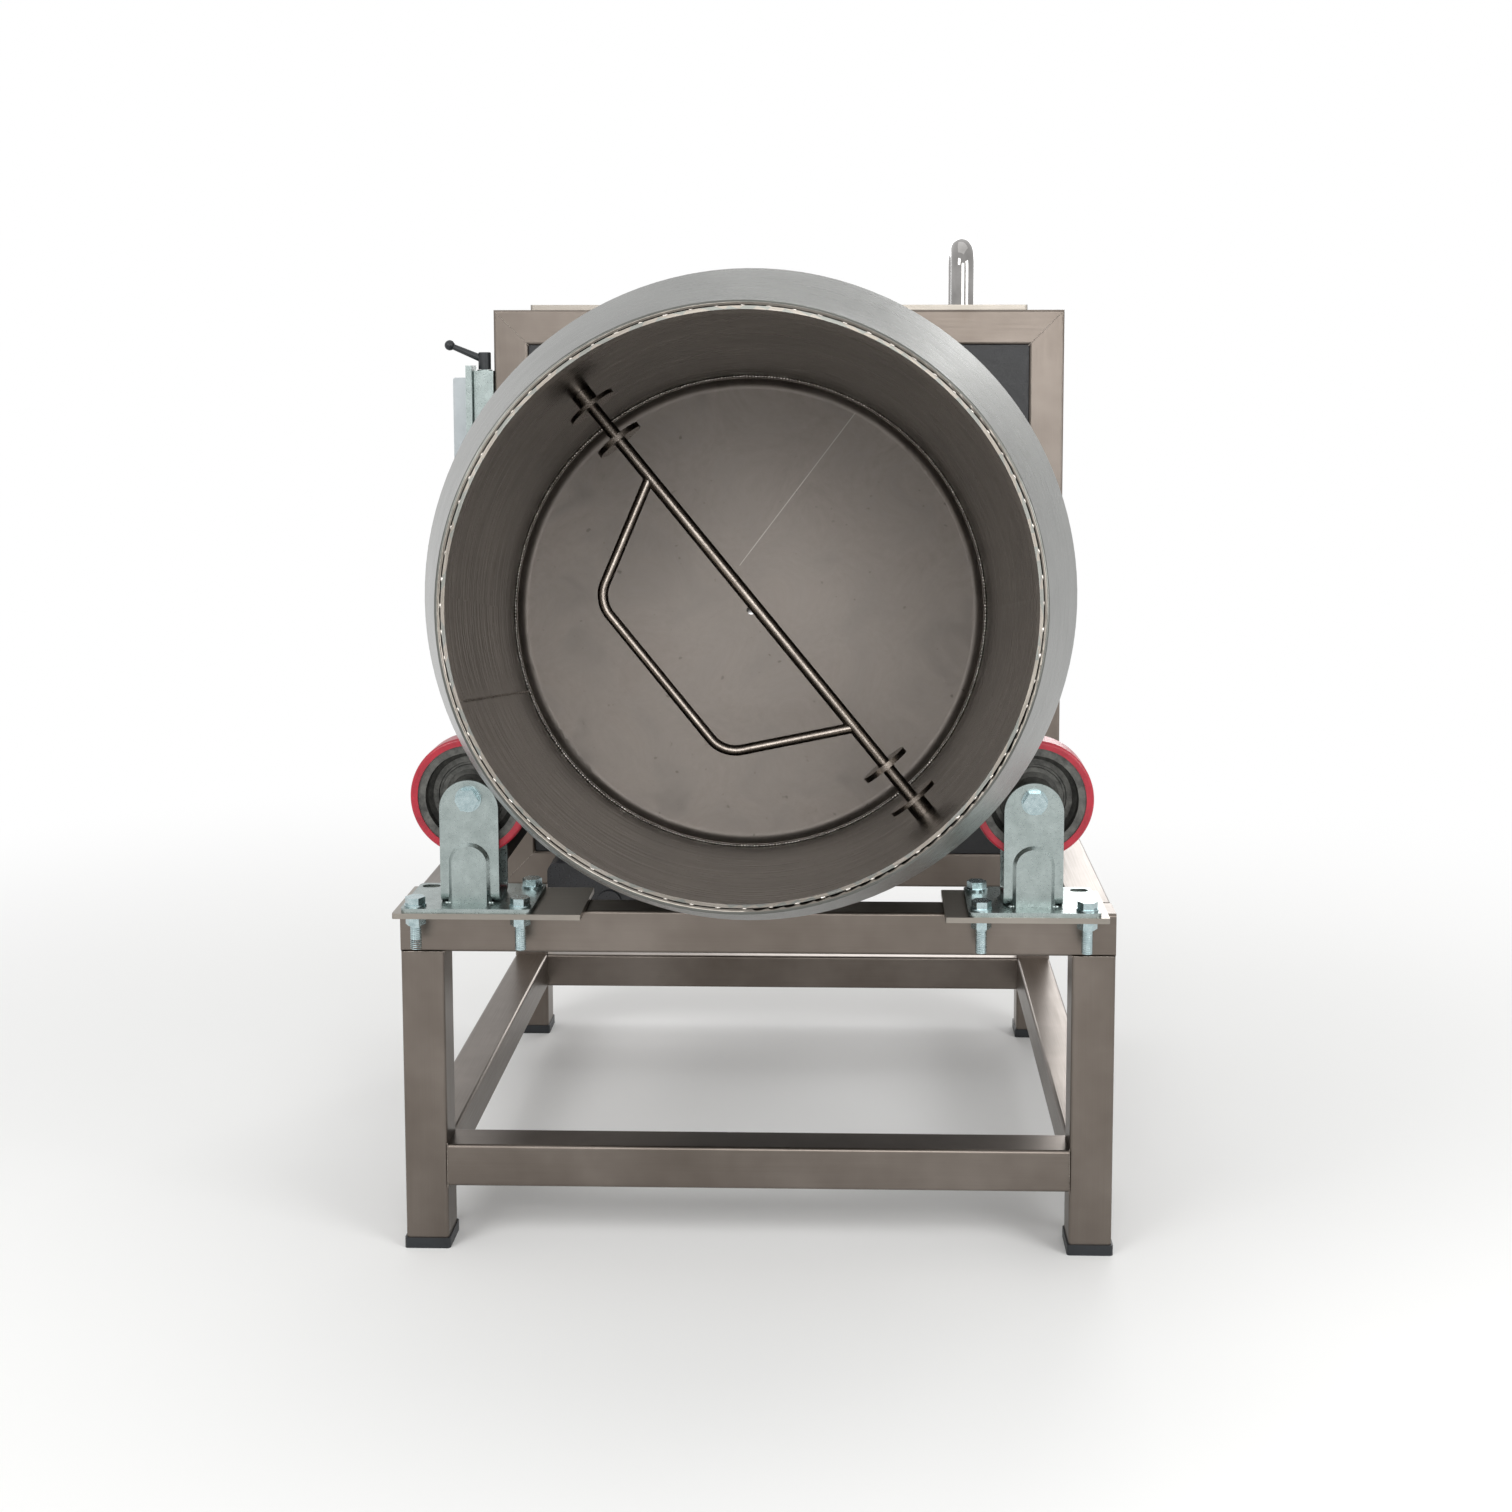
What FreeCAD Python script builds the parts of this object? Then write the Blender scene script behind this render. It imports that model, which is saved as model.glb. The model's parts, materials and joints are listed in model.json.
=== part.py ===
import FreeCAD, Part
import math
import os
from FreeCAD import Placement, Rotation, Vector

# Meat vacuum tumbler on a welded table. Millimetres. While it is built, X is right, Y runs back from
# the front of the table, Z is up from the floor. At the end the origin moves to the bottom centre of
# the whole machine's bounding box.

# table and rear box
table_width = 660
table_depth = 634
table_height = 325
tube = 40
tube_wall = 2
tube_round = 3
stretcher_z = 60
box_height = 890
box_base_z = 211
box_depth = 123
cap_side = 43
cap_height = 10
cap_floor = 4
plate_thickness = 6
plate_recess = 4
sheet = 1.5
panel_gap = 0.2
cover_height = 6
cover_inset = 42
screw_radius = 4
back_screw_rows = 4

# drum
drum_tilt = 8.5
drum_skew = 3.2
drum_line_x = -5
drum_radius = 256
drum_wall = 2.5
drum_length = 588
drum_back_y = 349
back_wall = 3
back_knuckle = 12
back_flange = 24
cone_depth = 100
cone_wall = 3
mouth_step = 30
mouth_drop = 13
mouth_shift = 7
lip_thickness = 4.5
lip_depth = 12
mouth_ring_wall = 2.7
mouth_ring_depth = 20
fit_gap = 0.3

# agitator
agitator_behind_rim = 390
agitator_angle = -50.9
bar_radius = 6
foot_flange_t = 236
foot_flange_radius = 24.5
foot_flange_thickness = 4
clamp_t = 196
clamp_radius = 23.5
clamp_thickness = 5.2
wall_bush_radius = 10
paddle_radius = 5
paddle_t = 151
paddle_flat_t = 92
paddle_reach = 110
paddle_bend = 30

# rollers and casters
roller_spread = 4
roller_y = 15
roller_axle_z = 431
roller_radius = 55
roller_width = 34
tread_thickness = 7
tread_round = 3
roller_gap = 0.3
hub_radius = 20
web_thickness = 8
rim_radius = 41
axle_radius = 6
bush_wall = 4
running_fit = 0.06
fork_width = 54
fork_sheet = 3.5
fork_inside = 39
fork_bend = 5
rib_width = 36
rib_height = 3
rib_top_drop = 42
caster_plate_x = 120
caster_plate_y = 90
caster_plate = 4
hole_spacing_x = 96
hole_spacing_y = 68
mount_bolt_radius = 5
mount_hole_radius = 5.5
base_plate = 5
base_plate_inset = 5
base_plate_left_reach = 105
base_plate_right_reach = 81
base_plate_front_y = -32
base_plate_back_y = 62

# drive line, measured along the drum's axis
shaft_radius = 25
shaft_tail_radius = 12.5
shaft_bore = 5
shaft_clearance = 4
hub_plate_radius = 100
hub_plate_thickness = 10
shaft_flange_radius = 65
shaft_flange_thickness = 12
hub_bolt_circle = 48
bearing_side = 130
bearing_flange = 14
bearing_hub_radius = 46
bearing_depth = 40
bearing_ring_radius = 33
pad_least = 3
gearbox_depth = 80
gearbox_width = 124
gearbox_round = 60
gear_centres = 50
gearbox_bore = 20
motor_radius = 46
motor_length = 170
motor_shaft_radius = 9.5
rotor_radius = 30
cowl_length = 42
union_radius = 22
union_length = 42
hose_barb_radius = 9
hose_barb_length = 18

# handle on the cover
handle_x = 214
handle_radius = 13.5
handle_rise = 79
handle_front_y = 545
handle_back_y = 612

# controls on the left of the box
upright_width = 24
upright_depth = 22
upright_top_z = 820
clamp_plate = 7
clamp_plate_top_z = 826
control_width = 52
control_front_y = 530
control_depth = 100
control_base_z = 642
control_top_z = 812
control_shell = 2
lever_hub_radius = 7.25
lever_hub_height = 20
lever_reach = 46.5
lever_rise = 17
lever_arm_radius = 3.2
lever_ball_radius = 6
knob_radius = 17
knob_height = 16
button_radius = 11
button_travel = 3

# vacuum pump below the drum
pump_x = -171
pump_y = 268
pump_shelf_z = 208
pump_width = 140
pump_length = 200
pump_height = 92
pump_foot = 10
shelf_sheet = 3

half_width = table_width / 2
rail_z = table_height - tube
box_front_y = table_depth - box_depth
rear_y = table_depth - tube
inner_x = half_width - tube
tilt = math.radians(drum_tilt)
skew = math.radians(drum_skew)
mouth_radius = drum_radius - mouth_step
roller_x = drum_radius + roller_spread / 2
handle_top_z = box_height + cover_height + handle_rise


# ---- shapes --------------------------------------------------------------------------------------

def block(x0, x1, y0, y1, z0, z1):
    return Part.makeBox(x1 - x0, y1 - y0, z1 - z0, Vector(x0, y0, z0))


def rod(start, direction, radius, length):
    return Part.makeCylinder(radius, length, start, direction)


def pipe(start, direction, outer, inner, length):
    return rod(start, direction, outer, length).cut(rod(start, direction, inner, length))


def fuse(shapes):
    return shapes[0].fuse(shapes[1:]).removeSplitter()


def group(shapes):
    return Part.makeCompound([solid for shape in shapes for solid in shape.Solids])


def mirrored(shape, middle_x=0):
    return shape.mirror(Vector(middle_x, 0, 0), Vector(1, 0, 0))


def pair(shape, middle_x=0):
    return group([mirrored(shape, middle_x), shape])


def edges_along(shape, direction):
    found = []
    for edge in shape.Edges:
        if edge.Curve.TypeId == "Part::GeomLine":
            run = edge.Vertexes[1].Point - edge.Vertexes[0].Point
            if run.cross(direction).Length < 1e-6:
                found.append(edge)
    return found


def rounded_block(x0, x1, y0, y1, z0, z1, radius, along):
    shape = block(x0, x1, y0, y1, z0, z1)
    return shape.makeFillet(radius, edges_along(shape, along))


along_x, along_y, along_z = Vector(1, 0, 0), Vector(0, 1, 0), Vector(0, 0, 1)


def hollow_bar(x0, x1, y0, y1, z0, z1, along):
    """Square tube between two corners, open at both ends."""
    outer = rounded_block(x0, x1, y0, y1, z0, z1, tube_round, along)
    wall = Vector(tube_wall, tube_wall, tube_wall) - along * tube_wall
    inner = block(x0 + wall.x, x1 - wall.x, y0 + wall.y, y1 - wall.y, z0 + wall.z, z1 - wall.z)
    return outer.cut(inner)


def polygon(points):
    return Part.Face(Part.makePolygon(points + points[:1]))


def revolved(profile, start=Vector(0, 0, 0), direction=along_z):
    """Turns a closed (radius, height) outline about the Z axis, then lays it along a direction."""
    face = polygon([Vector(radius, 0, height) for radius, height in profile])
    shape = face.revolve(Vector(0, 0, 0), along_z, 360)
    shape.Placement = Placement(start, Rotation(along_z, direction))
    return shape


def hexagon(start, direction, across_flats, height):
    corner = across_flats / math.sqrt(3)
    points = [Vector(corner * math.cos(math.radians(60 * step)), corner * math.sin(math.radians(60 * step)), 0)
              for step in range(6)]
    shape = polygon(points).extrude(Vector(0, 0, height))
    shape.Placement = Placement(start, Rotation(along_z, direction))
    return shape


def ring_points(count, radius, offset=0.0):
    for step in range(count):
        angle = math.radians(offset + 360 * step / count)
        yield radius * math.cos(angle), radius * math.sin(angle)


# ---- table ---------------------------------------------------------------------------------------

def front_legs():
    return pair(hollow_bar(inner_x, half_width, 0, tube, cap_floor, rail_z, along_z))


def rear_posts():
    post = hollow_bar(inner_x, half_width, rear_y, table_depth, cap_floor, box_height, along_z)
    inset = tube_wall / 2
    top = block(inner_x + inset, half_width - inset, rear_y + inset, table_depth - inset,
                box_height - tube_wall, box_height)
    return pair(fuse([post, top])).cut(screw_holes())


def foot_caps():
    spread = (cap_side - tube) / 2
    caps = []
    for y in (0, rear_y):
        cap = rounded_block(inner_x - spread, half_width + spread, y - spread, y + tube + spread,
                            0, cap_height, tube_round, along_z)
        pocket = rounded_block(inner_x - panel_gap, half_width + panel_gap, y - panel_gap,
                               y + tube + panel_gap, cap_floor, cap_height, tube_round, along_z)
        caps.append(cap.cut(pocket))
    return pair(group(caps))


def front_top_rail():
    rail = hollow_bar(-half_width, half_width, 0, tube, rail_z, table_height, along_x)
    inset, inner = tube_wall / 2, half_width - tube_wall
    ends = [block(x, x + tube_wall, inset, tube - inset, rail_z + inset, table_height - inset)
            for x in (-half_width, inner)]
    return fuse([rail] + ends)


def side_top_rails():
    return pair(hollow_bar(inner_x, half_width, tube, box_front_y, rail_z, table_height, along_y))


def rear_mid_rail():
    return hollow_bar(-inner_x, inner_x, rear_y, table_depth, rail_z, table_height, along_x)


def end_stretcher(y):
    return hollow_bar(-inner_x, inner_x, y, y + tube, stretcher_z, stretcher_z + tube, along_x)


def side_stretchers():
    return pair(hollow_bar(inner_x, half_width, tube, rear_y, stretcher_z, stretcher_z + tube, along_y))


def base_plates():
    plates = []
    for side, reach in ((-1, base_plate_left_reach), (1, base_plate_right_reach)):
        outer = drum_line_x + side * (half_width - base_plate_inset)
        inner = drum_line_x + side * (roller_x - reach)
        plate = rounded_block(min(inner, outer), max(inner, outer), base_plate_front_y, base_plate_back_y,
                              table_height, table_height + base_plate, 2, along_z)
        plates.append(plate.cut([rod(Vector(x, y, table_height), along_z, mount_hole_radius, base_plate)
                                 for x, y in mount_holes(side)]))
    return group(plates)


# ---- rear box ------------------------------------------------------------------------------------

def mitre(shape, x, z, outward):
    """Cuts a tube at 45 degrees through the frame corner at x, z, and keeps the side facing inward."""
    reach = box_height
    cutter = Part.makeBox(reach, 2 * reach, 2 * reach, Vector(0, -reach, -reach))
    cutter.Placement = Placement(Vector(x, 0, z), Rotation(along_x, outward))
    return shape.cut(cutter)


def box_posts():
    y0, y1 = box_front_y, box_front_y + tube
    post = hollow_bar(inner_x, half_width, y0, y1, box_base_z, box_height, along_z)
    post = mitre(post, half_width, box_height, Vector(-1, 0, 1))
    post = mitre(post, half_width, box_base_z, Vector(-1, 0, -1))
    return pair(post)


def box_cross_rail(z, outer_z, facing):
    y0, y1 = box_front_y, box_front_y + tube
    rail = hollow_bar(-half_width, half_width, y0, y1, z, z + tube, along_x)
    rail = mitre(rail, half_width, outer_z, Vector(1, 0, facing))
    return mitre(rail, -half_width, outer_z, Vector(-1, 0, facing))


def box_rear_top_rail():
    return hollow_bar(-inner_x, inner_x, rear_y, table_depth, box_height - tube, box_height, along_x)


def box_side_ties():
    y0, y1 = box_front_y + tube, rear_y
    ties = [hollow_bar(inner_x, half_width, y0, y1, z, z + tube, along_y)
            for z in (rail_z, box_height - tube)]
    return pair(group(ties))


def drive_plate():
    x = inner_x - panel_gap
    y = box_front_y + plate_recess
    plate = block(-x, x, y, y + plate_thickness, box_base_z + tube + panel_gap, box_height - tube - panel_gap)
    return plate.cut(axis_hole(shaft_radius + shaft_clearance))


def side_panels():
    x = half_width - sheet
    y0, y1 = box_front_y + tube + panel_gap, rear_y - panel_gap
    return pair(block(x - sheet, x, y0, y1, table_height + panel_gap, box_height - tube - panel_gap))


def back_panel():
    edge = 5
    panel = block(-half_width + edge, half_width - edge, table_depth, table_depth + sheet,
                  rail_z + edge, box_height - edge)
    return panel.cut(screw_holes() + [axis_hole(union_radius + shaft_clearance)])


def back_screw_places():
    step = (box_height - rail_z - 30) / (back_screw_rows - 1)
    return [Vector(side * (half_width - tube / 2), table_depth + sheet, rail_z + 15 + row * step)
            for row in range(back_screw_rows) for side in (-1, 1)]


def screw_holes():
    grip = sheet + tube_wall
    return [rod(place, along_y * -1, screw_radius / 2, grip) for place in back_screw_places()]


def screw(seat, direction):
    """Flat headed screw whose shank runs back through the sheet and the tube's wall."""
    grip = sheet + tube_wall
    return revolved([(0, -grip), (screw_radius / 2, -grip), (screw_radius / 2, 0), (screw_radius, 0),
                     (screw_radius - 1, 2), (0, 2)], seat, direction)


# ---- drum ----------------------------------------------------------------------------------------

axis_back = Vector(-math.sin(skew) * math.cos(tilt), math.cos(skew) * math.cos(tilt), -math.sin(tilt))
seat_y = roller_y + roller_width / 2 - tread_round


def seated_axis_height():
    """Height of the drum's axis at the treads' back edges, where the drum rests on both wheels."""
    ring = roller_radius - tread_round
    reach = drum_radius + roller_gap + tread_round
    level = 1 - axis_back.z ** 2
    heights = []
    for side in (-1, 1):
        for y in (2 * roller_y - seat_y, seat_y):
            for tenth in range(900):
                angle = math.radians(tenth / 10)
                across, along = side * (roller_x - ring * math.cos(angle)), y - seat_y
                shared = across * axis_back.x + along * axis_back.y
                spread = across ** 2 + along ** 2 - shared ** 2 - reach ** 2
                drop = (axis_back.z * shared - math.sqrt((axis_back.z * shared) ** 2 - level * spread)) / level
                heights.append(roller_axle_z + ring * math.sin(angle) - drop)
    return max(heights)


seat = Vector(drum_line_x, seat_y, seated_axis_height())
drum_place = Placement(seat + axis_back * ((drum_back_y - seat_y) / axis_back.y),
                       Rotation(along_z, drum_skew).multiply(Rotation(along_x, 90 - drum_tilt)))
rim_z = drum_length + cone_depth
mouth_centre = Vector(-mouth_shift, -mouth_drop, 0)


def on_drum(shape):
    """Moves a shape from the drum's own frame: Y across and up, Z from the back disc to the mouth."""
    placed = shape.copy()
    placed.Placement = drum_place.multiply(shape.Placement)
    return placed


def axis_hole(radius):
    return on_drum(rod(Vector(0, 0, -table_depth), along_z, radius, table_depth))


def circle_edges(shape, radius, height):
    return [edge for edge in shape.Edges if edge.Curve.TypeId == "Part::GeomCircle"
            and abs(edge.Curve.Radius - radius) < 1e-4 and abs(edge.Curve.Center.z - height) < 1e-4]


def drum_cylinder():
    return on_drum(pipe(Vector(0, 0, 0), along_z, drum_radius, drum_radius - drum_wall, drum_length))


def drum_back():
    outer = drum_radius - drum_wall - panel_gap
    inner = outer - back_wall
    disc = revolved([(shaft_bore, 0), (outer, 0), (outer, back_flange), (inner, back_flange),
                     (inner, back_wall), (shaft_bore, back_wall)])
    disc = disc.makeFillet(back_knuckle, circle_edges(disc, outer, 0))
    disc = disc.makeFillet(back_knuckle - back_wall, circle_edges(disc, inner, back_wall))
    return on_drum(disc)


def cone_side(trim):
    """Solid inside a surface that lies a given wall in from the cone's outside."""
    top = rim_z - lip_depth / 2
    foot = Part.Wire(Part.makeCircle(drum_radius - trim, Vector(0, 0, drum_length)))
    head = Part.Wire(Part.makeCircle(mouth_radius - trim, mouth_centre + Vector(0, 0, top)))
    return Part.makeLoft([foot, head], True, True)


def drum_cone():
    shell = cone_side(0).cut(cone_side(cone_wall))
    start = mouth_centre + Vector(0, 0, rim_z - lip_depth)
    lip = pipe(start, along_z, mouth_radius, mouth_radius - lip_thickness, lip_depth)
    round_over = lip_thickness / 2 - 0.05
    lip = lip.makeFillet(round_over, circle_edges(lip, mouth_radius, rim_z)
                         + circle_edges(lip, mouth_radius - lip_thickness, rim_z))
    return on_drum(shell.fuse(lip))


def mouth_ring():
    outer = mouth_radius - lip_thickness - fit_gap
    start = mouth_centre + Vector(0, 0, rim_z - mouth_ring_depth)
    return on_drum(pipe(start, along_z, outer, outer - mouth_ring_wall, mouth_ring_depth - 1))


# ---- agitator ------------------------------------------------------------------------------------

def bent_bar(points, bend, radius):
    """Round bar along straight runs joined by bends."""
    edges, last = [], points[0]
    for before, corner, after in zip(points, points[1:], points[2:]):
        into = (corner - before).normalize()
        out = (after - corner).normalize()
        half_turn = into.getAngle(out) / 2
        setback = bend * math.tan(half_turn)
        start, end = corner - into * setback, corner + out * setback
        middle = corner + (out - into).normalize() * (bend / math.cos(half_turn) - bend)
        edges += [Part.LineSegment(last, start).toShape(), Part.Arc(start, middle, end).toShape()]
        last = end
    edges.append(Part.LineSegment(last, points[-1]).toShape())
    outline = Part.Wire(Part.makeCircle(radius, points[0], points[1] - points[0]))
    return Part.Wire(edges).makePipeShell([outline], True, False)


bar_place = Placement(Vector(0, 0, rim_z - agitator_behind_rim), Rotation(along_z, agitator_angle))
wall_reach = math.sqrt((drum_radius - drum_wall - panel_gap) ** 2 - wall_bush_radius ** 2)


def on_bar(shape):
    """Moves a shape from the crossbar's frame: X along the bar, Y away from the paddle."""
    placed = shape.copy()
    placed.Placement = bar_place.multiply(shape.Placement)
    return on_drum(placed)


def bar_disc(t, radius, thickness):
    start = Vector(t - thickness / 2, 0, 0)
    return on_bar(pipe(start, along_x, radius, bar_radius + running_fit, thickness))


def agitator_bar():
    return on_bar(rod(Vector(-wall_reach + 1, 0, 0), along_x, bar_radius, 2 * wall_reach - 2))


def agitator_paddle():
    points = [Vector(-paddle_t, 0, 0), Vector(-paddle_flat_t, -paddle_reach, 0),
              Vector(paddle_flat_t, -paddle_reach, 0), Vector(paddle_t, 0, 0)]
    return on_bar(bent_bar(points, paddle_bend, paddle_radius)).cut(agitator_bar())


def clamp_discs():
    discs = [bar_disc(side * clamp_t, clamp_radius, clamp_thickness) for side in (-1, 1)]
    return group(discs)


def foot_flanges():
    discs = [bar_disc(side * foot_flange_t, foot_flange_radius, foot_flange_thickness) for side in (-1, 1)]
    return group(discs)


def wall_bushes():
    start = foot_flange_t + foot_flange_thickness / 2
    bushes = [on_bar(pipe(Vector(side * start, 0, 0), along_x * side, wall_bush_radius,
                          bar_radius + running_fit, wall_reach - start)) for side in (-1, 1)]
    return group(bushes)


# ---- rollers and casters -------------------------------------------------------------------------

axle_centre = Vector(drum_line_x + roller_x, roller_y, roller_axle_z)
caster_z = table_height + base_plate
fork_base_z = caster_z + caster_plate
cheek_y = fork_inside / 2 + fork_sheet
arch_radius = fork_width / 2
bush_radius = axle_radius + bush_wall


def mount_holes(side):
    """Places of a caster's three bolts: its fourth slot lies over the side rail."""
    middle = drum_line_x + side * roller_x
    inner, outer = middle - side * hole_spacing_x / 2, middle + side * hole_spacing_x / 2
    front, back = roller_y - hole_spacing_y / 2, roller_y + hole_spacing_y / 2
    return [(inner, front), (outer, front), (inner, back)]


def roller_core():
    half = fork_inside / 2 - fit_gap
    rim_half = roller_width / 2 - 1.5
    outer = roller_radius - tread_thickness
    web = web_thickness / 2
    side = [(bush_radius + running_fit, half), (hub_radius - 3, half), (hub_radius, web + 4),
            (hub_radius + 4, web), (28, web), (28.6, web - 1.2), (30.4, web - 1.2), (31, web),
            (rim_radius - 5, web), (rim_radius - 1, web + 4), (rim_radius, rim_half), (outer, rim_half)]
    profile = side + [(radius, -height) for radius, height in reversed(side)]
    return revolved(profile, axle_centre, along_y)


def roller_tread():
    half = roller_width / 2
    inner = roller_radius - tread_thickness
    tread = revolved([(inner, -half), (roller_radius, -half), (roller_radius, half), (inner, half)])
    tread = tread.makeFillet(tread_round, circle_edges(tread, roller_radius, half)
                             + circle_edges(tread, roller_radius, -half))
    tread.Placement = Placement(axle_centre, Rotation(along_z, along_y))
    return tread


def roller_bush():
    start = axle_centre - along_y * (fork_inside / 2)
    return pipe(start, along_y, bush_radius, axle_radius + running_fit, fork_inside)


def bullet(width, top, y):
    """Outline of an upright strip with a round top, standing on the caster's plate."""
    half = width / 2
    base, shoulder = Vector(0, y, fork_base_z), Vector(0, y, top - half)
    left, right = Vector(-half, 0, 0), Vector(half, 0, 0)
    return Part.Wire([Part.LineSegment(base + left, base + right).toShape(),
                      Part.LineSegment(base + right, shoulder + right).toShape(),
                      Part.Arc(shoulder + right, shoulder + Vector(0, 0, half), shoulder + left).toShape(),
                      Part.LineSegment(shoulder + left, base + left).toShape()])


def caster_fork():
    arch_top = roller_axle_z - 10 + arch_radius
    outer = rounded_block(-arch_radius, arch_radius, -cheek_y, cheek_y, fork_base_z, arch_top + fork_bend * 4,
                          fork_bend + fork_sheet, along_x)
    inside = fork_inside / 2
    inner = rounded_block(-arch_radius, arch_radius, -inside, inside, fork_base_z + fork_sheet,
                          arch_top + fork_bend * 8, fork_bend, along_x)
    arch = Part.Face(bullet(fork_width, arch_top, -cheek_y)).extrude(Vector(0, 2 * cheek_y, 0))
    fork = outer.cut(inner).common(arch)
    rib_top = roller_axle_z - rib_top_drop
    for side in (-1, 1):
        rib = Part.makeLoft([bullet(rib_width + 4, rib_top + 2, side * (cheek_y - 1)),
                             bullet(rib_width - 4, rib_top - 2, side * (cheek_y + rib_height))], True, True)
        fork = fork.fuse(rib)
    x, y = caster_plate_x / 2, caster_plate_y / 2
    plate = rounded_block(-x, x, -y, y, caster_z, fork_base_z, 6, along_z)
    for hole_x in (-hole_spacing_x / 2, hole_spacing_x / 2):
        for hole_y in (-hole_spacing_y / 2, hole_spacing_y / 2):
            slot = [rod(Vector(hole_x + shift, hole_y, caster_z), along_z, mount_hole_radius, caster_plate)
                    for shift in (-3, 3)]
            middle = block(hole_x - 3, hole_x + 3, hole_y - mount_hole_radius, hole_y + mount_hole_radius,
                           caster_z, fork_base_z)
            plate = plate.cut(slot + [middle])
    fork = fork.fuse(plate)
    fork = fork.cut(rod(Vector(0, -cheek_y - 5, roller_axle_z), along_y, axle_radius + running_fit,
                        2 * cheek_y + 10))
    fork.translate(Vector(axle_centre.x, roller_y, 0))
    return fork


def axle_bolts():
    head = 7.5
    washer = 2
    nut = 10
    front = axle_centre - along_y * (cheek_y + washer)
    back = axle_centre + along_y * cheek_y
    bolt = fuse([hexagon(front - along_y * head, along_y, 19, head),
                 rod(front, along_y, axle_radius, 2 * cheek_y + 2 * washer + nut + 4)])
    washers = [pipe(place, along_y, 12, axle_radius + running_fit, washer) for place in (front, back)]
    bolt_nut = hexagon(back + along_y * washer, along_y, 19, nut)
    bolt_nut = bolt_nut.cut(rod(back, along_y, axle_radius, washer + nut + 1))
    return pair(bolt, drum_line_x), pair(group(washers), drum_line_x), pair(bolt_nut, drum_line_x)


def mount_fasteners():
    washer, head, nut = 2, 6.5, 8
    bolts, washers, nuts = [], [], []
    for side in (-1, 1):
        for index, (x, y) in enumerate(mount_holes(side)):
            length = 33 if side < 0 and index == 1 else 42
            top = Vector(x, y, fork_base_z + washer)
            bolts.append(fuse([hexagon(top, along_z, 16, head),
                               rod(top, along_z * -1, mount_bolt_radius, length)]))
            washers.append(pipe(top, along_z * -1, 10, mount_hole_radius, washer))
            under = Vector(x, y, table_height)
            bolt_nut = hexagon(under, along_z * -1, 16, nut)
            nuts.append(bolt_nut.cut(rod(under, along_z * -1, mount_bolt_radius, nut)))
    return group(bolts), group(washers), group(nuts)


# ---- drive line ----------------------------------------------------------------------------------

plate_front = box_front_y + plate_recess
plate_back = plate_front + plate_thickness


def axis_distance(y, half_width, half_height, clearance):
    """How far behind the drum's back disc a face square to the axis clears an upright plane."""
    lean = half_width * math.sin(skew) + half_height * math.sin(tilt)
    return (y - drum_back_y + clearance + lean) / axis_back.y


bearing_back = -axis_distance(plate_front, -bearing_side / 2, -bearing_side / 2, -pad_least)
gearbox_low = gear_centres + 28
gearbox_front = -axis_distance(plate_back, gearbox_width / 2, gearbox_low, 1)
gearbox_back = gearbox_front - gearbox_depth
gear_middle = gearbox_front - gearbox_depth / 2


def hub_plate():
    plate = pipe(Vector(0, 0, -hub_plate_thickness), along_z, hub_plate_radius, shaft_bore, hub_plate_thickness)
    for x, y in ring_points(6, hub_bolt_circle):
        plate = plate.cut(rod(Vector(x, y, -hub_plate_thickness), along_z, 5, hub_plate_thickness - 2))
    return on_drum(plate)


def drum_shaft():
    flange = -hub_plate_thickness - shaft_flange_thickness
    tail = gearbox_back - union_length / 2
    profile = [(shaft_bore, -hub_plate_thickness), (shaft_flange_radius, -hub_plate_thickness),
               (shaft_flange_radius, flange), (shaft_radius + 6, flange), (shaft_radius, flange - 6),
               (shaft_radius, bearing_back - 6), (gearbox_bore, bearing_back - 8), (gearbox_bore, gearbox_back),
               (shaft_tail_radius, gearbox_back), (shaft_tail_radius, tail), (shaft_bore, tail)]
    shaft = revolved(profile)
    for x, y in ring_points(6, hub_bolt_circle):
        shaft = shaft.cut(rod(Vector(x, y, flange), along_z, 5, shaft_flange_thickness))
    return on_drum(shaft)


def hub_bolts():
    flange = -hub_plate_thickness - shaft_flange_thickness
    bolts = []
    for x, y in ring_points(6, hub_bolt_circle):
        head = hexagon(Vector(x, y, flange - 6.5), along_z, 16, 6.5)
        shank = rod(Vector(x, y, flange), along_z, 5, shaft_flange_thickness + hub_plate_thickness - 2)
        bolts.append(head.fuse(shank))
    return on_drum(group(bolts))


def bearing_holes(radius, start, depth):
    place = bearing_side / 2 - 15
    return [rod(Vector(x, y, start), along_z, radius, depth)
            for x in (-place, place) for y in (-place, place)]


def bearing_pad():
    side = bearing_side / 2
    deep = bearing_back - bearing_side
    pad = rounded_block(-side, side, -side, side, deep, bearing_back, 12, along_z)
    pad = pad.cut(rod(Vector(0, 0, deep), along_z, shaft_radius + shaft_clearance, bearing_side))
    behind = block(-table_width, table_width, plate_front, 2 * table_depth, 0, box_height)
    return on_drum(pad).cut(behind)


def bearing_housing():
    side = bearing_side / 2
    flange = rounded_block(-side, side, -side, side, bearing_back, bearing_back + bearing_flange, 12, along_z)
    hub = Part.makeCone(bearing_hub_radius + 6, bearing_hub_radius, bearing_depth, Vector(0, 0, bearing_back))
    housing = flange.fuse(hub)
    housing = housing.cut(rod(Vector(0, 0, bearing_back), along_z, bearing_ring_radius + running_fit,
                              bearing_depth))
    return on_drum(housing.cut(bearing_holes(6, bearing_back, bearing_flange)))


def bearing_ring():
    start = Vector(0, 0, bearing_back + 2)
    ring = pipe(start, along_z, bearing_ring_radius, shaft_radius, bearing_depth - 6)
    collar = pipe(start, along_z, bearing_ring_radius - 2, shaft_radius, bearing_depth + 8)
    return on_drum(ring.fuse(collar))


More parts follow.
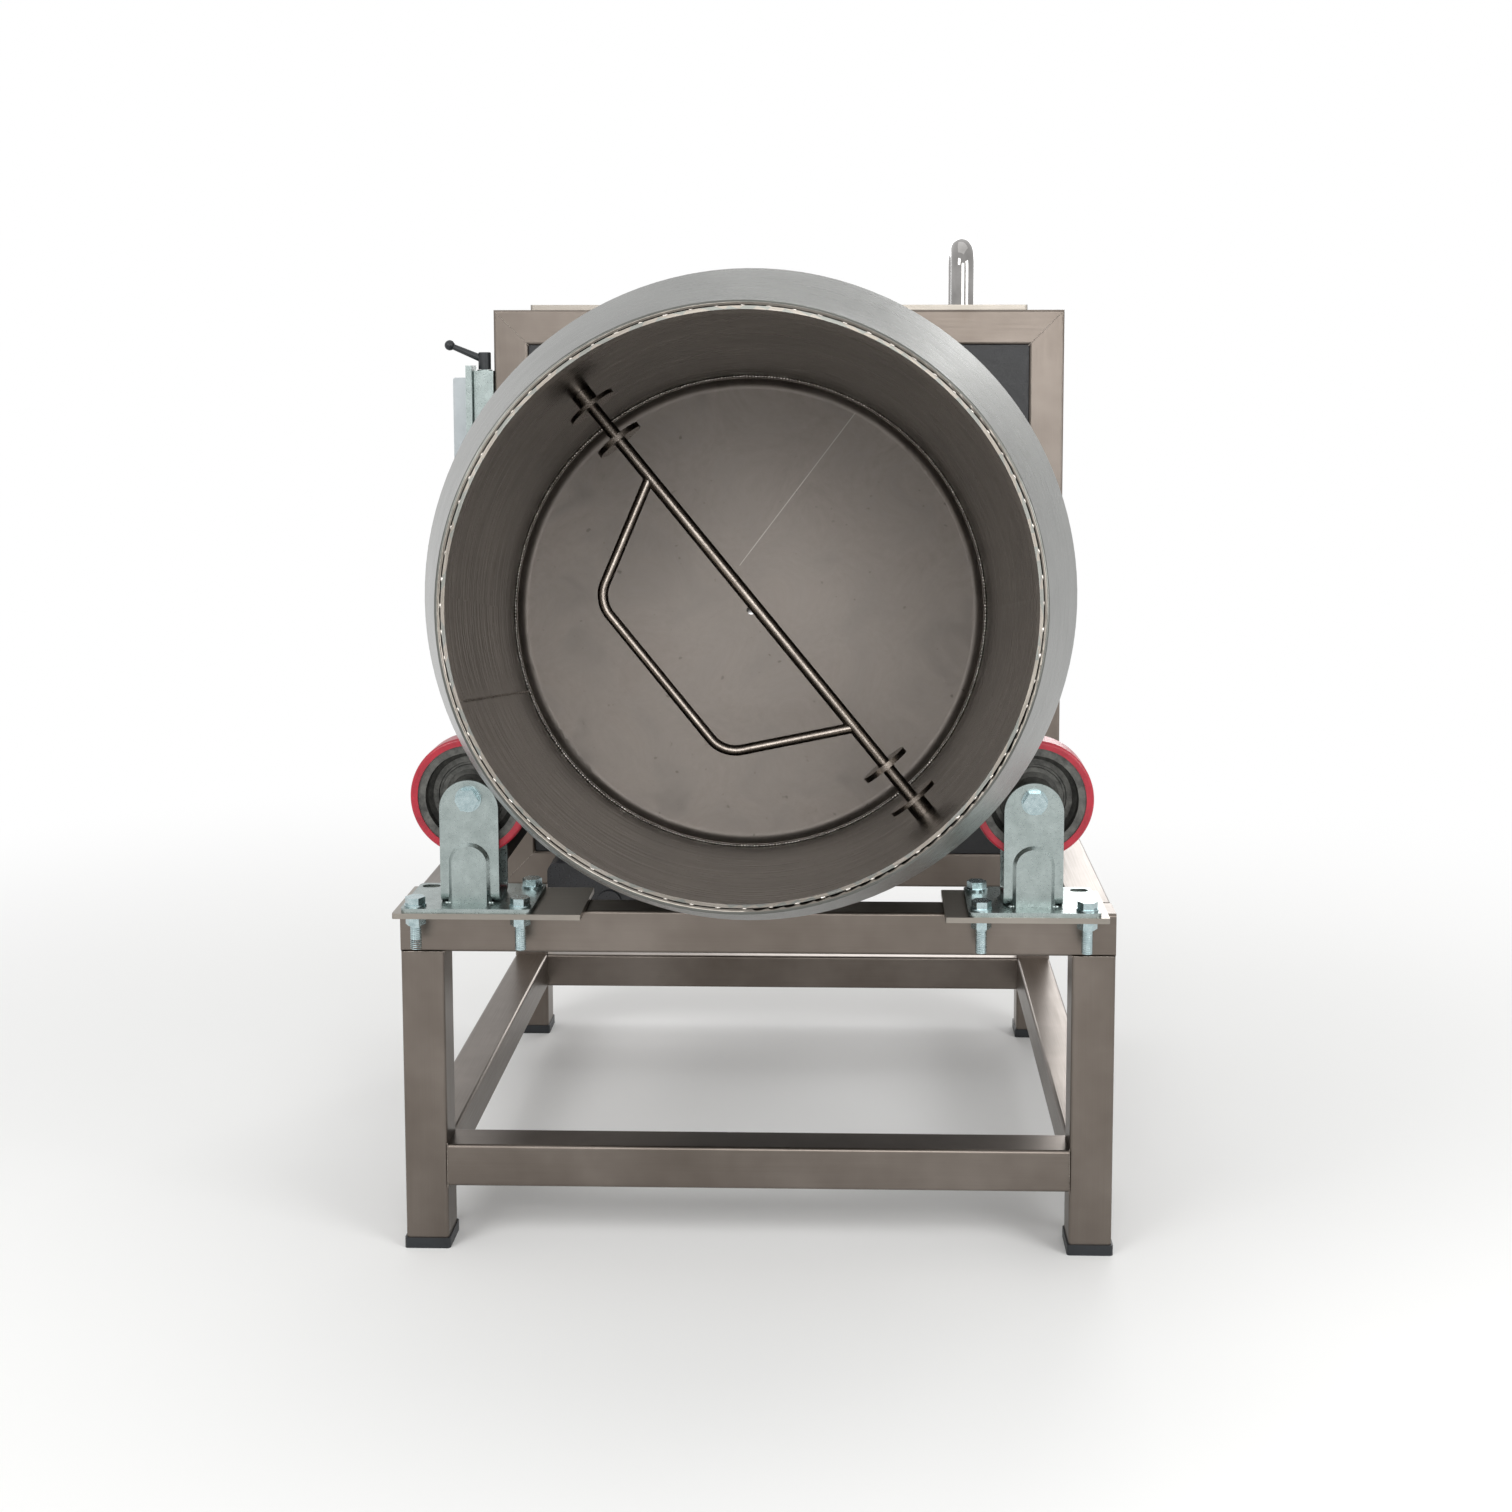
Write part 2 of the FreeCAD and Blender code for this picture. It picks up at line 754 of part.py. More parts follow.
def bearing_bolts():
    place = bearing_side / 2 - 15
    bolts = []
    for x in (-place, place):
        for y in (-place, place):
            seat = Vector(x, y, bearing_back + bearing_flange)
            bolts.append(hexagon(seat, along_z, 18, 7.5).fuse(rod(seat, along_z * -1, 6, bearing_flange)))
    return on_drum(group(bolts))


def gearbox_mount():
    ahead = block(-table_width, table_width, -table_depth, plate_back, 0, 2 * box_height)
    mount = pipe(Vector(0, 0, gearbox_front), along_z, gearbox_round, shaft_radius + shaft_clearance,
                 gearbox_depth)
    return on_drum(mount).cut(ahead)


def gearbox():
    half = gearbox_width / 2
    wheel_case = rod(Vector(0, 0, gearbox_back), along_z, gearbox_round, gearbox_depth)
    worm_case = rounded_block(-half, half, -gearbox_low, 0, gearbox_back + 6, gearbox_front - 6, 14, along_x)
    case = wheel_case.fuse(worm_case)
    case = case.cut(rod(Vector(0, 0, gearbox_back), along_z, gearbox_bore + running_fit, gearbox_depth))
    worm_axis = Vector(-half + 12, -gear_centres, gear_middle)
    return on_drum(case.cut(rod(worm_axis, along_x, motor_shaft_radius + running_fit, gearbox_width)))


motor_place = Placement(Vector(gearbox_width / 2, -gear_centres, gear_middle), Rotation(along_z, along_x))


def on_motor(shape):
    """Moves a shape from the motor's frame: Z along its shaft, away from the gearbox."""
    placed = shape.copy()
    placed.Placement = motor_place.multiply(shape.Placement)
    return on_drum(placed)


def motor_body():
    bore = motor_shaft_radius + running_fit
    inner = motor_radius - 8
    end = motor_length
    outside = revolved([(bore, 0), (motor_radius, 0), (motor_radius, 8), (motor_radius - 4, 8),
                        (motor_radius - 4, end), (bore, end)])
    inside = revolved([(0, 10), (inner, 10), (inner, end - 8), (0, end - 8)])
    return on_motor(outside.cut(inside))


def motor_rotor():
    start = -gearbox_width + 14
    end = motor_length + cowl_length - 14
    profile = [(0, start), (motor_shaft_radius, start), (motor_shaft_radius, 28), (rotor_radius, 28),
               (rotor_radius, motor_length - 26), (motor_shaft_radius, motor_length - 26),
               (motor_shaft_radius, end), (0, end)]
    return on_motor(revolved(profile))


def motor_fan():
    start = motor_length + 8
    hub = pipe(Vector(0, 0, start), along_z, 14, motor_shaft_radius, 18)
    disc = pipe(Vector(0, 0, start), along_z, motor_radius - 12, 13, 3)
    blades = [block(13, motor_radius - 12, -1.2, 1.2, start + 2, start + 18) for _ in range(6)]
    for step, blade in enumerate(blades):
        blade.rotate(Vector(0, 0, 0), along_z, 60 * step)
    return on_motor(fuse([hub, disc] + blades))


def motor_cowl():
    start = Vector(0, 0, motor_length - 12)
    length = cowl_length + 12
    cowl = rod(start, along_z, motor_radius, length)
    cowl = cowl.makeFillet(8, circle_edges(cowl, motor_radius, start.z + length))
    cowl = cowl.cut(rod(start, along_z, motor_radius - 4, length - 3))
    for x, y in ring_points(10, motor_radius / 2):
        cowl = cowl.cut(rod(start + Vector(x, y, 0), along_z, 4, 2 * length))
    return on_motor(cowl)


def terminal_box():
    low = motor_radius - 6
    lid = rounded_block(-30, 30, low, motor_radius + 26, 50, 120, 5, along_y)
    return on_motor(lid.cut(rod(Vector(0, 0, 0), along_z, motor_radius - 4, motor_length)))


def rotary_union():
    start = Vector(0, 0, gearbox_back)
    neck = start - along_z * union_length
    body = rod(start, along_z * -1, union_radius, union_length)
    body = body.makeFillet(3, circle_edges(body, union_radius, neck.z))
    barb = revolved([(0, 0), (hose_barb_radius - 1, 0), (hose_barb_radius - 1, 4), (hose_barb_radius, 5),
                     (hose_barb_radius - 1, 11), (hose_barb_radius, 12),
                     (hose_barb_radius - 1.5, hose_barb_length), (0, hose_barb_length)], neck, along_z * -1)
    body = body.fuse(barb)
    body = body.cut(rod(start, along_z * -1, shaft_tail_radius + running_fit, union_length / 2 + 1))
    return on_drum(body.cut(rod(start, along_z * -1, shaft_bore, union_length + hose_barb_length)))


def back_screws():
    return group([screw(place, along_y) for place in back_screw_places()])


# ---- cover and handle ----------------------------------------------------------------------------

def top_cover():
    x = half_width - cover_inset
    y0, y1 = box_front_y + 8, table_depth - 8
    cover = rounded_block(-x, x, y0, y1, box_height, box_height + cover_height, 3, along_z)
    return cover.cut(block(-x + sheet, x - sheet, y0 + sheet, y1 - sheet, box_height,
                           box_height + cover_height - sheet))


def lifting_handle():
    z0 = box_height + cover_height
    z1 = handle_top_z - handle_radius
    points = [Vector(handle_x, handle_front_y, z0), Vector(handle_x, handle_front_y, z1),
              Vector(handle_x, handle_back_y, z1), Vector(handle_x, handle_back_y, z0)]
    return bent_bar(points, handle_radius * 1.6, handle_radius)


# ---- controls on the left of the box -------------------------------------------------------------

upright_x = -half_width - upright_width / 2
control_x = -half_width - control_width


def control_upright():
    y1 = control_front_y - 1
    post = rounded_block(-half_width - upright_width, -half_width, y1 - upright_depth, y1,
                         control_base_z - 40, upright_top_z, 1.5, along_z)
    return post.cut(rod(lever_place, along_z * -1, stud_radius + running_fit, stud_length + 5))


def upright_plate():
    x1 = -half_width - upright_width
    y1 = control_front_y - 1
    return block(x1 - clamp_plate, x1, y1 - 30, y1, control_base_z - 10, clamp_plate_top_z)


def control_box():
    y0, y1 = control_front_y, control_front_y + control_depth
    case = rounded_block(control_x, -half_width, y0, y1, control_base_z, control_top_z, 3, along_y)
    t = control_shell
    case = case.cut(block(control_x + t, -half_width - t, y0 + t, y1 - t, control_base_z + t, control_top_z - t))
    for y, z in button_places():
        case = case.cut(rod(Vector(control_x, y, z), along_x, button_radius + fit_gap, t))
    y, z = control_front_y + control_depth, (control_base_z + control_top_z) / 2 + 30
    return case.cut(rod(Vector((control_x - half_width) / 2, y - t, z), along_y, 3 + running_fit, t))


def button_places():
    middle = (control_base_z + control_top_z) / 2
    y = control_front_y + control_depth / 2
    return [(y, middle + 24), (y, middle - 24)]


def button_bezels():
    bezels = [pipe(Vector(control_x, y, z), along_x * -1, button_radius + 3, button_radius + fit_gap, 2.5)
              for y, z in button_places()]
    return group(bezels)


def push_button(place):
    y, z = place
    return rod(Vector(control_x - button_travel, y, z), along_x, button_radius,
               button_travel + control_shell + 10)


def speed_knob():
    y = control_front_y + control_depth
    z = (control_base_z + control_top_z) / 2 + 30
    x = (control_x - half_width) / 2
    knob = revolved([(0, 0.5), (knob_radius, 0.5), (knob_radius, 4), (knob_radius - 3, 6),
                     (knob_radius - 4, knob_height), (0, knob_height)])
    pointer = block(-1.2, 1.2, 0, knob_radius - 2, 4, knob_height + 1)
    knob = knob.fuse(pointer).fuse(rod(Vector(0, 0, -14), along_z, 3, 16))
    knob.Placement = Placement(Vector(x, y, z), Rotation(along_z, along_y))
    return knob


stud_radius = 4
stud_length = 15
lever_washer = 1.2
lever_place = Vector(upright_x, control_front_y - 1 - upright_depth / 2, upright_top_z)


def clamp_lever():
    hub_z = lever_washer + fit_gap
    hub = rod(Vector(0, 0, hub_z), along_z, lever_hub_radius, lever_hub_height)
    hub = hub.makeFillet(1.5, circle_edges(hub, lever_hub_radius, hub_z + lever_hub_height))
    start = Vector(0, 0, hub_z + lever_hub_height - 9)
    reach = Vector(-lever_reach + lever_ball_radius, 0, lever_rise)
    arm = Part.makeCone(lever_arm_radius + 1.2, lever_arm_radius, reach.Length, start, reach)
    ball = Part.makeSphere(lever_ball_radius, start + reach, reach)
    stud = rod(Vector(0, 0, hub_z), along_z * -1, stud_radius, stud_length)
    lever = fuse([hub, arm, ball, stud])
    lever.translate(lever_place)
    return lever


def lever_washer_ring():
    return pipe(lever_place, along_z, lever_hub_radius + 1.5, stud_radius + fit_gap, lever_washer)


# ---- vacuum pump ---------------------------------------------------------------------------------

pump_base_z = pump_shelf_z + shelf_sheet + pump_foot
pump_split = 0.45


def pump_bracket():
    half = pump_width / 2 + 12
    x0, x1 = pump_x - half, pump_x + half
    y1 = box_front_y
    shelf = block(x0, x1, pump_y - 12, y1, pump_shelf_z, pump_shelf_z + shelf_sheet)
    flange = block(x0, x1, y1 - shelf_sheet, y1, pump_shelf_z, box_base_z + tube - 6)
    sides = []
    for x in (x0, x1 - shelf_sheet):
        outline = [Vector(x, pump_y - 12, pump_shelf_z), Vector(x, y1, pump_shelf_z),
                   Vector(x, y1, box_base_z + tube - 6), Vector(x, y1 - 30, box_base_z + tube - 6),
                   Vector(x, pump_y - 12, pump_shelf_z + 14)]
        sides.append(polygon(outline).extrude(Vector(shelf_sheet, 0, 0)))
    return fuse([shelf, flange] + sides)


def pump_places():
    half = pump_width / 2 - 16
    return [(pump_x + side * half, y) for side in (-1, 1) for y in (pump_y + 22, pump_y + pump_length - 22)]


def pump_feet():
    z = pump_shelf_z + shelf_sheet
    return group([rod(Vector(x, y, z), along_z, 9, pump_foot) for x, y in pump_places()])


def pump_head():
    half = pump_width / 2
    split = pump_y + pump_length * pump_split
    z = pump_base_z
    base = rounded_block(pump_x - half, pump_x + half, pump_y, pump_y + pump_length, z, z + 6, 8, along_z)
    tank = rounded_block(pump_x - half + 4, pump_x + half - 4, pump_y + 4, split, z, z + pump_height - 14,
                         10, along_y)
    neck = rod(Vector(pump_x + 30, pump_y + 40, z + pump_height - 16), along_z, 12, 16)
    cap = rod(Vector(pump_x - 32, pump_y + 40, z + pump_height - 16), along_z, 17, 8)
    glass = rod(Vector(pump_x, pump_y + 6, z + 36), along_y * -1, 13, 5)
    head = fuse([base, tank, neck, cap, glass])
    return head.cut(rod(Vector(pump_x + 30, pump_y + 40, z + pump_height - 20), along_z, 8, 24))


def pump_motor():
    split = pump_y + pump_length * pump_split
    radius = (pump_height - 26) / 2
    z = pump_base_z + 6 + 6 + radius
    length = pump_length * (1 - pump_split) - 6
    barrel = rod(Vector(pump_x, split, z), along_y, radius, length)
    cowl = pipe(Vector(pump_x, split + length - 30, z), along_y, radius + 2.5, radius - 1, 26)
    foot = block(pump_x - 36, pump_x + 36, split + 14, split + length - 34, pump_base_z + 6, z)
    box = rounded_block(pump_x - 26, pump_x + 26, split + 20, split + 76, z, z + radius + 14, 4, along_z)
    return fuse([barrel, cowl, foot, box])


# ---- the whole machine ---------------------------------------------------------------------------

def machine():
    axle_bolt, axle_washers, axle_nuts = axle_bolts()
    bolts, washers, nuts = mount_fasteners()
    core, tread, fork = roller_core(), roller_tread(), caster_fork()
    buttons = [push_button(place) for place in button_places()]
    return {
        "front_legs": front_legs(),
        "rear_posts": rear_posts(),
        "foot_caps": foot_caps(),
        "front_top_rail": front_top_rail(),
        "side_top_rails": side_top_rails(),
        "rear_mid_rail": rear_mid_rail(),
        "front_stretcher": end_stretcher(0),
        "rear_stretcher": end_stretcher(rear_y),
        "side_stretchers": side_stretchers(),
        "base_plates": base_plates(),
        "box_posts": box_posts(),
        "box_top_rail": box_cross_rail(box_height - tube, box_height, -1),
        "box_bottom_rail": box_cross_rail(box_base_z, box_base_z, 1),
        "box_rear_top_rail": box_rear_top_rail(),
        "box_side_ties": box_side_ties(),
        "drive_plate": drive_plate(),
        "side_panels": side_panels(),
        "back_panel": back_panel(),
        "back_panel_screws": back_screws(),
        "top_cover": top_cover(),
        "lifting_handle": lifting_handle(),
        "left_caster_fork": mirrored(fork, drum_line_x),
        "right_caster_fork": fork,
        "axle_bolts": axle_bolt,
        "axle_washers": axle_washers,
        "axle_nuts": axle_nuts,
        "caster_bolts": bolts,
        "caster_washers": washers,
        "caster_nuts": nuts,
        "roller_bushes": pair(roller_bush(), drum_line_x),
        "left_roller_core": mirrored(core, drum_line_x),
        "right_roller_core": core,
        "left_roller_tread": mirrored(tread, drum_line_x),
        "right_roller_tread": tread,
        "drum_cylinder": drum_cylinder(),
        "drum_cone": drum_cone(),
        "mouth_ring": mouth_ring(),
        "drum_back": drum_back(),
        "hub_plate": hub_plate(),
        "hub_bolts": hub_bolts(),
        "drum_shaft": drum_shaft(),
        "agitator_bar": agitator_bar(),
        "agitator_paddle": agitator_paddle(),
        "agitator_fittings": group([foot_flanges(), clamp_discs(), wall_bushes()]),
        "bearing_pad": bearing_pad(),
        "bearing_housing": bearing_housing(),
        "bearing_ring": bearing_ring(),
        "bearing_bolts": bearing_bolts(),
        "gearbox": group([gearbox(), gearbox_mount()]),
        "motor_body": group([motor_body(), terminal_box(), motor_cowl()]),
        "motor_rotor": group([motor_rotor(), motor_fan()]),
        "rotary_union": rotary_union(),
        "control_support": group([control_upright(), upright_plate(), lever_washer_ring()]),
        "control_box": group([control_box(), button_bezels()]),
        "clamp_lever": clamp_lever(),
        "speed_knob": speed_knob(),
        "start_button": buttons[0],
        "stop_button": buttons[1],
        "pump_bracket": group([pump_bracket(), pump_feet()]),
        "pump": group([pump_head(), pump_motor()]),
    }


def bottom_centre(shapes):
    box = shapes[0].optimalBoundingBox(False)
    for shape in shapes[1:]:
        box.add(shape.optimalBoundingBox(False))
    return Vector(box.Center.x, box.Center.y, box.ZMin)


nodes = machine()
origin = bottom_centre(list(nodes.values()))
os.makedirs("parts", exist_ok=True)
for name, shape in nodes.items():
    shape.translate(origin * -1)
    shape.exportStep(f"parts/{name}.step")
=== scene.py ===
import json
import math

import bpy
from mathutils import Matrix, Vector


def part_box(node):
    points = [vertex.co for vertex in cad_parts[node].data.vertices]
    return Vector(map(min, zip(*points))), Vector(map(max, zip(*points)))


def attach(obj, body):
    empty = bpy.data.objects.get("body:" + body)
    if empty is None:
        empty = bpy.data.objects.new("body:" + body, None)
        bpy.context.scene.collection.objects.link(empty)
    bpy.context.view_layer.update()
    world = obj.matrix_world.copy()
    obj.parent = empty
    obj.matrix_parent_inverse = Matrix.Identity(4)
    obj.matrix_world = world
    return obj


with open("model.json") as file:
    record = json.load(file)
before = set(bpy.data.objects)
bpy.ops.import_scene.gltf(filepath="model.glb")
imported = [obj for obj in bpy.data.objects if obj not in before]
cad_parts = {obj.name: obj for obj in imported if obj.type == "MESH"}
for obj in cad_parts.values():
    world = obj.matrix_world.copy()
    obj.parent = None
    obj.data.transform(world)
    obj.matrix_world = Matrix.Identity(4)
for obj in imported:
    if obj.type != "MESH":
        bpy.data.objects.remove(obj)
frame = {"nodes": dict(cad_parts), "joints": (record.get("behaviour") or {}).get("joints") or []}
scene = bpy.context.scene
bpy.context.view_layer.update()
joints = {joint["name"]: joint for joint in frame["joints"]}
millimetre = 0.001
print("frame loaded:", len(frame["nodes"]), "nodes")

# camera
cameraSettings = {
    "place": (0.1188, -1.8988, 0.8212),
    "turnLeft": 1.461,    # degrees
    "lookDown": 5.579,
    "lens": 46.243,
    "shift": (-0.0333, -0.13),
}


def addCamera(settings):
    camera = bpy.data.objects.new("camera", bpy.data.cameras.new("camera"))
    scene.collection.objects.link(camera)
    camera.location = settings["place"]
    camera.rotation_euler = (math.radians(90 - settings["lookDown"]), 0, math.radians(settings["turnLeft"]))
    camera.data.lens = settings["lens"]
    camera.data.sensor_width = 36
    camera.data.shift_x, camera.data.shift_y = settings["shift"]
    camera.data.clip_start, camera.data.clip_end = 0.05, 60
    scene.camera = camera


addCamera(cameraSettings)
scene.view_settings.view_transform = "Standard"
print("camera set")


# small helpers for materials
def toLinear(code):
    channels = [int(code[i:i + 2], 16) / 255 for i in (1, 3, 5)]
    return [c / 12.92 if c <= 0.04045 else ((c + 0.055) / 1.055) ** 2.4 for c in channels] + [1]


def addNode(tree, kind, settings=None, inputs=None):
    node = tree.nodes.new(kind)
    for name, value in (settings or {}).items():
        setattr(node, name, value)
    for key, value in (inputs or {}).items():
        if isinstance(value, bpy.types.NodeSocket):
            tree.links.new(value, node.inputs[key])
        else:
            node.inputs[key].default_value = value
    return node


def newMaterial(name):
    material = bpy.data.materials.new(name)
    material.use_nodes = True
    tree = material.node_tree
    tree.nodes.clear()
    return material, tree


def endMaterial(tree, shader):
    addNode(tree, "ShaderNodeOutputMaterial", inputs={"Surface": shader.outputs[0]})


def setRamp(node, stops):
    ramp = node.color_ramp
    while len(ramp.elements) > len(stops):
        ramp.elements.remove(ramp.elements[-1])
    while len(ramp.elements) < len(stops):
        ramp.elements.new(0.5)
    for element, (place, colour) in zip(ramp.elements, stops):
        element.position = place
        element.color = toLinear(colour) if isinstance(colour, str) else (colour, colour, colour, 1)


# the drum's own axes: z runs from the back disc to the mouth, y is up across it
drumJoint = joints["drum_spin"]
towardsMouth = -Vector(drumJoint["axis"]).normalized()
drumAcross = Vector((-towardsMouth.y, towardsMouth.x, 0)).normalized()
drumUp = towardsMouth.cross(drumAcross)
drumPlace = Matrix((drumAcross, drumUp, towardsMouth)).transposed().to_4x4()
drumPlace.translation = Vector(drumJoint["pos_m"])


# brushed stainless steel tube and sheet: rolled, then drawn over a belt, so it is satin with fine marks along
# its length, a warm grey-brown with paler and darker patches where it was handled and wiped
brushedSteel = {
    "dark": "#675f58",
    "middle": "#736b64",
    "light": "#827a73",
    "markShare": 0.16,
    "roughness": (0.28, 0.4),
    "markPitch": 0.8,        # mm, drawn coarser than the real 0.1 mm marks so that it shows
    "markLength": 90,
    "patchSize": 160,
}


def makeBrushedSteel(name, along, settings, changes=None):
    s = {**settings, **(changes or {})}
    material, tree = newMaterial(name)
    place = addNode(tree, "ShaderNodeTexCoord").outputs["Object"]
    perMetre = [1 / (s["markPitch"] * millimetre)] * 3
    perMetre["xyz".index(along)] = 1 / (s["markLength"] * millimetre)
    stretched = addNode(tree, "ShaderNodeMapping", inputs={"Vector": place, "Scale": perMetre})
    marks = addNode(tree, "ShaderNodeTexNoise", inputs={
        "Vector": stretched.outputs[0], "Scale": 1.0, "Detail": 3.0, "Roughness": 0.6})
    patches = addNode(tree, "ShaderNodeTexNoise", inputs={
        "Vector": place, "Scale": 1 / (s["patchSize"] * millimetre), "Detail": 4.0, "Roughness": 0.62})
    blend = addNode(tree, "ShaderNodeMath", {"operation": "MULTIPLY_ADD"}, {
        0: marks.outputs[0], 1: s["markShare"], 2: patches.outputs[0]})
    colour = addNode(tree, "ShaderNodeValToRGB", inputs={"Fac": blend.outputs[0]})
    setRamp(colour, [(0.38, s["dark"]), (0.58, s["middle"]), (0.82, s["light"])])
    rough = addNode(tree, "ShaderNodeMapRange", inputs={
        "Value": marks.outputs[0], "From Min": 0.3, "From Max": 0.7,
        "To Min": s["roughness"][0], "To Max": s["roughness"][1]})
    bump = addNode(tree, "ShaderNodeBump", inputs={
        "Height": marks.outputs[0], "Strength": 0.07, "Distance": 0.0003})
    shader = addNode(tree, "ShaderNodeBsdfPrincipled", inputs={
        "Base Color": colour.outputs[0], "Metallic": 1.0, "Roughness": rough.outputs[0],
        "Normal": bump.outputs[0]})
    endMaterial(tree, shader)
    return material


steelAcross = makeBrushedSteel("brushed_stainless_across", "x", brushedSteel)
steelDeep = makeBrushedSteel("brushed_stainless_deep", "y", brushedSteel)
steelUpright = makeBrushedSteel("brushed_stainless_upright", "z", brushedSteel)
steelSheet = makeBrushedSteel("brushed_stainless_sheet", "x", brushedSteel, {
    "dark": "#8a857d", "middle": "#958f87", "light": "#a19b93", "markLength": 200})

# stainless drum shell: rolled sheet, brushed round and round, so highlights draw out into long soft streaks
# across the marks
drumSteel = {
    "outside": ("#5d5e5a", "#676864", "#747571"),     # dark, middle, light; painted shade: the outside copy of the steel is drawn darker, standing in for the dark reflection across the band
    "inside": ("#67625c", "#757069", "#85807a"),      # painted light: the inside copy of the same steel is drawn lighter than the outside
    "roughness": (0.24, 0.36),
    "anisotropy": 0.7,
    "markPitch": 1.1,        # mm, drawn coarser than the real marks so that it shows
    "markLength": 160,
    "patchSize": 120,
}


def makeTurnedSteel(name, settings, changes=None, place=drumPlace):
    s = {**settings, **(changes or {})}
    material, tree = newMaterial(name)
    back = place.inverted()
    here = addNode(tree, "ShaderNodeTexCoord").outputs["Object"]
    local = addNode(tree, "ShaderNodeMapping", inputs={
        "Vector": here, "Rotation": back.to_euler(), "Location": back.translation}).outputs[0]
    split = addNode(tree, "ShaderNodeSeparateXYZ", inputs={0: local})
    angle = addNode(tree, "ShaderNodeMath", {"operation": "ARCTAN2"}, {0: split.outputs[1], 1: split.outputs[0]})
    flat = addNode(tree, "ShaderNodeCombineXYZ", inputs={0: split.outputs[0], 1: split.outputs[1], 2: 0.0})
    radius = addNode(tree, "ShaderNodeVectorMath", {"operation": "LENGTH"}, {0: flat.outputs[0]})
    aroundMarks = addNode(tree, "ShaderNodeMath", {"operation": "MULTIPLY"}, {
        0: angle.outputs[0], 1: 0.25 / (s["markLength"] * millimetre)})
    alongMarks = addNode(tree, "ShaderNodeMath", {"operation": "MULTIPLY"}, {
        0: split.outputs[2], 1: 1 / (s["markPitch"] * millimetre)})
    outwardMarks = addNode(tree, "ShaderNodeMath", {"operation": "MULTIPLY"}, {
        0: radius.outputs["Value"], 1: 1 / (s["markPitch"] * millimetre)})
    wrapped = addNode(tree, "ShaderNodeCombineXYZ", inputs={
        0: aroundMarks.outputs[0], 1: alongMarks.outputs[0], 2: outwardMarks.outputs[0]})
    marks = addNode(tree, "ShaderNodeTexNoise", inputs={
        "Vector": wrapped.outputs[0], "Scale": 1.0, "Detail": 3.0, "Roughness": 0.6})
    patches = addNode(tree, "ShaderNodeTexNoise", inputs={
        "Vector": here, "Scale": 1 / (s["patchSize"] * millimetre), "Detail": 4.0, "Roughness": 0.6})
    blend = addNode(tree, "ShaderNodeMath", {"operation": "MULTIPLY_ADD"}, {
        0: marks.outputs[0], 1: 0.2, 2: patches.outputs[0]})
    # painted shade and light: the same steel gets a lighter inside copy and a darker outside copy, picked by which way
    # the surface faces the axis
    sides = {}
    for side in ("outside", "inside"):
        sides[side] = addNode(tree, "ShaderNodeValToRGB", inputs={"Fac": blend.outputs[0]})
        setRamp(sides[side], list(zip((0.4, 0.6, 0.84), s[side])))
    facing = addNode(tree, "ShaderNodeVectorTransform", {
        "vector_type": "NORMAL", "convert_from": "WORLD", "convert_to": "OBJECT"}, {
        0: addNode(tree, "ShaderNodeNewGeometry").outputs["Normal"]})
    facing = addNode(tree, "ShaderNodeVectorRotate", {"rotation_type": "EULER_XYZ", "invert": True}, {
        "Vector": facing.outputs[0], "Rotation": place.to_euler()})
    leaning = addNode(tree, "ShaderNodeVectorMath", {"operation": "DOT_PRODUCT"}, {
        0: facing.outputs[0], 1: flat.outputs[0]})
    inner = addNode(tree, "ShaderNodeMath", {"operation": "LESS_THAN"}, {0: leaning.outputs["Value"], 1: 0.0})
    colour = addNode(tree, "ShaderNodeMixRGB", inputs={
        0: inner.outputs[0], 1: sides["outside"].outputs[0], 2: sides["inside"].outputs[0]})
    rough = addNode(tree, "ShaderNodeMapRange", inputs={
        "Value": marks.outputs[0], "From Min": 0.3, "From Max": 0.7,
        "To Min": s["roughness"][0], "To Max": s["roughness"][1]})
    bump = addNode(tree, "ShaderNodeBump", inputs={
        "Height": marks.outputs[0], "Strength": 0.1, "Distance": 0.0004})
    tangent = addNode(tree, "ShaderNodeVectorMath", {"operation": "CROSS_PRODUCT"}, {
        0: (0, 0, 1), 1: flat.outputs[0]})
    turned = addNode(tree, "ShaderNodeVectorRotate", {"rotation_type": "EULER_XYZ"}, {
        "Vector": tangent.outputs[0], "Rotation": place.to_euler()})
    world = addNode(tree, "ShaderNodeVectorTransform", {
        "vector_type": "VECTOR", "convert_from": "OBJECT", "convert_to": "WORLD"}, {0: turned.outputs[0]})
    shader = addNode(tree, "ShaderNodeBsdfPrincipled", inputs={
        "Base Color": colour.outputs[0], "Metallic": 1.0, "Roughness": rough.outputs[0],
        "Normal": bump.outputs[0], "Anisotropic": s["anisotropy"], "Tangent": world.outputs[0]})
    endMaterial(tree, shader)
    return material


drumShell = makeTurnedSteel("brushed_stainless_drum", drumSteel)

# stainless back disc: mill-rolled sheet left as it came, so it is dull and cloudy, with a few dark specks and one long
# fine scratch; the scratch is real, and its near-white colour is a painted highlight where it catches the light
discSteel = {
    "dark": "#78716b",
    "middle": "#8f8882",
    "light": "#a09993",
    "roughness": (0.42, 0.54),
    "cloudSize": 75,          # mm
    "speckSize": 9,
    "scratchFrom": (-12.7, 48.4),
    "scratchTurn": 52.7,      # degrees
    "scratchLength": 209,
    "scratchWidth": 0.9,      # drawn wider than the real one so that it shows
}


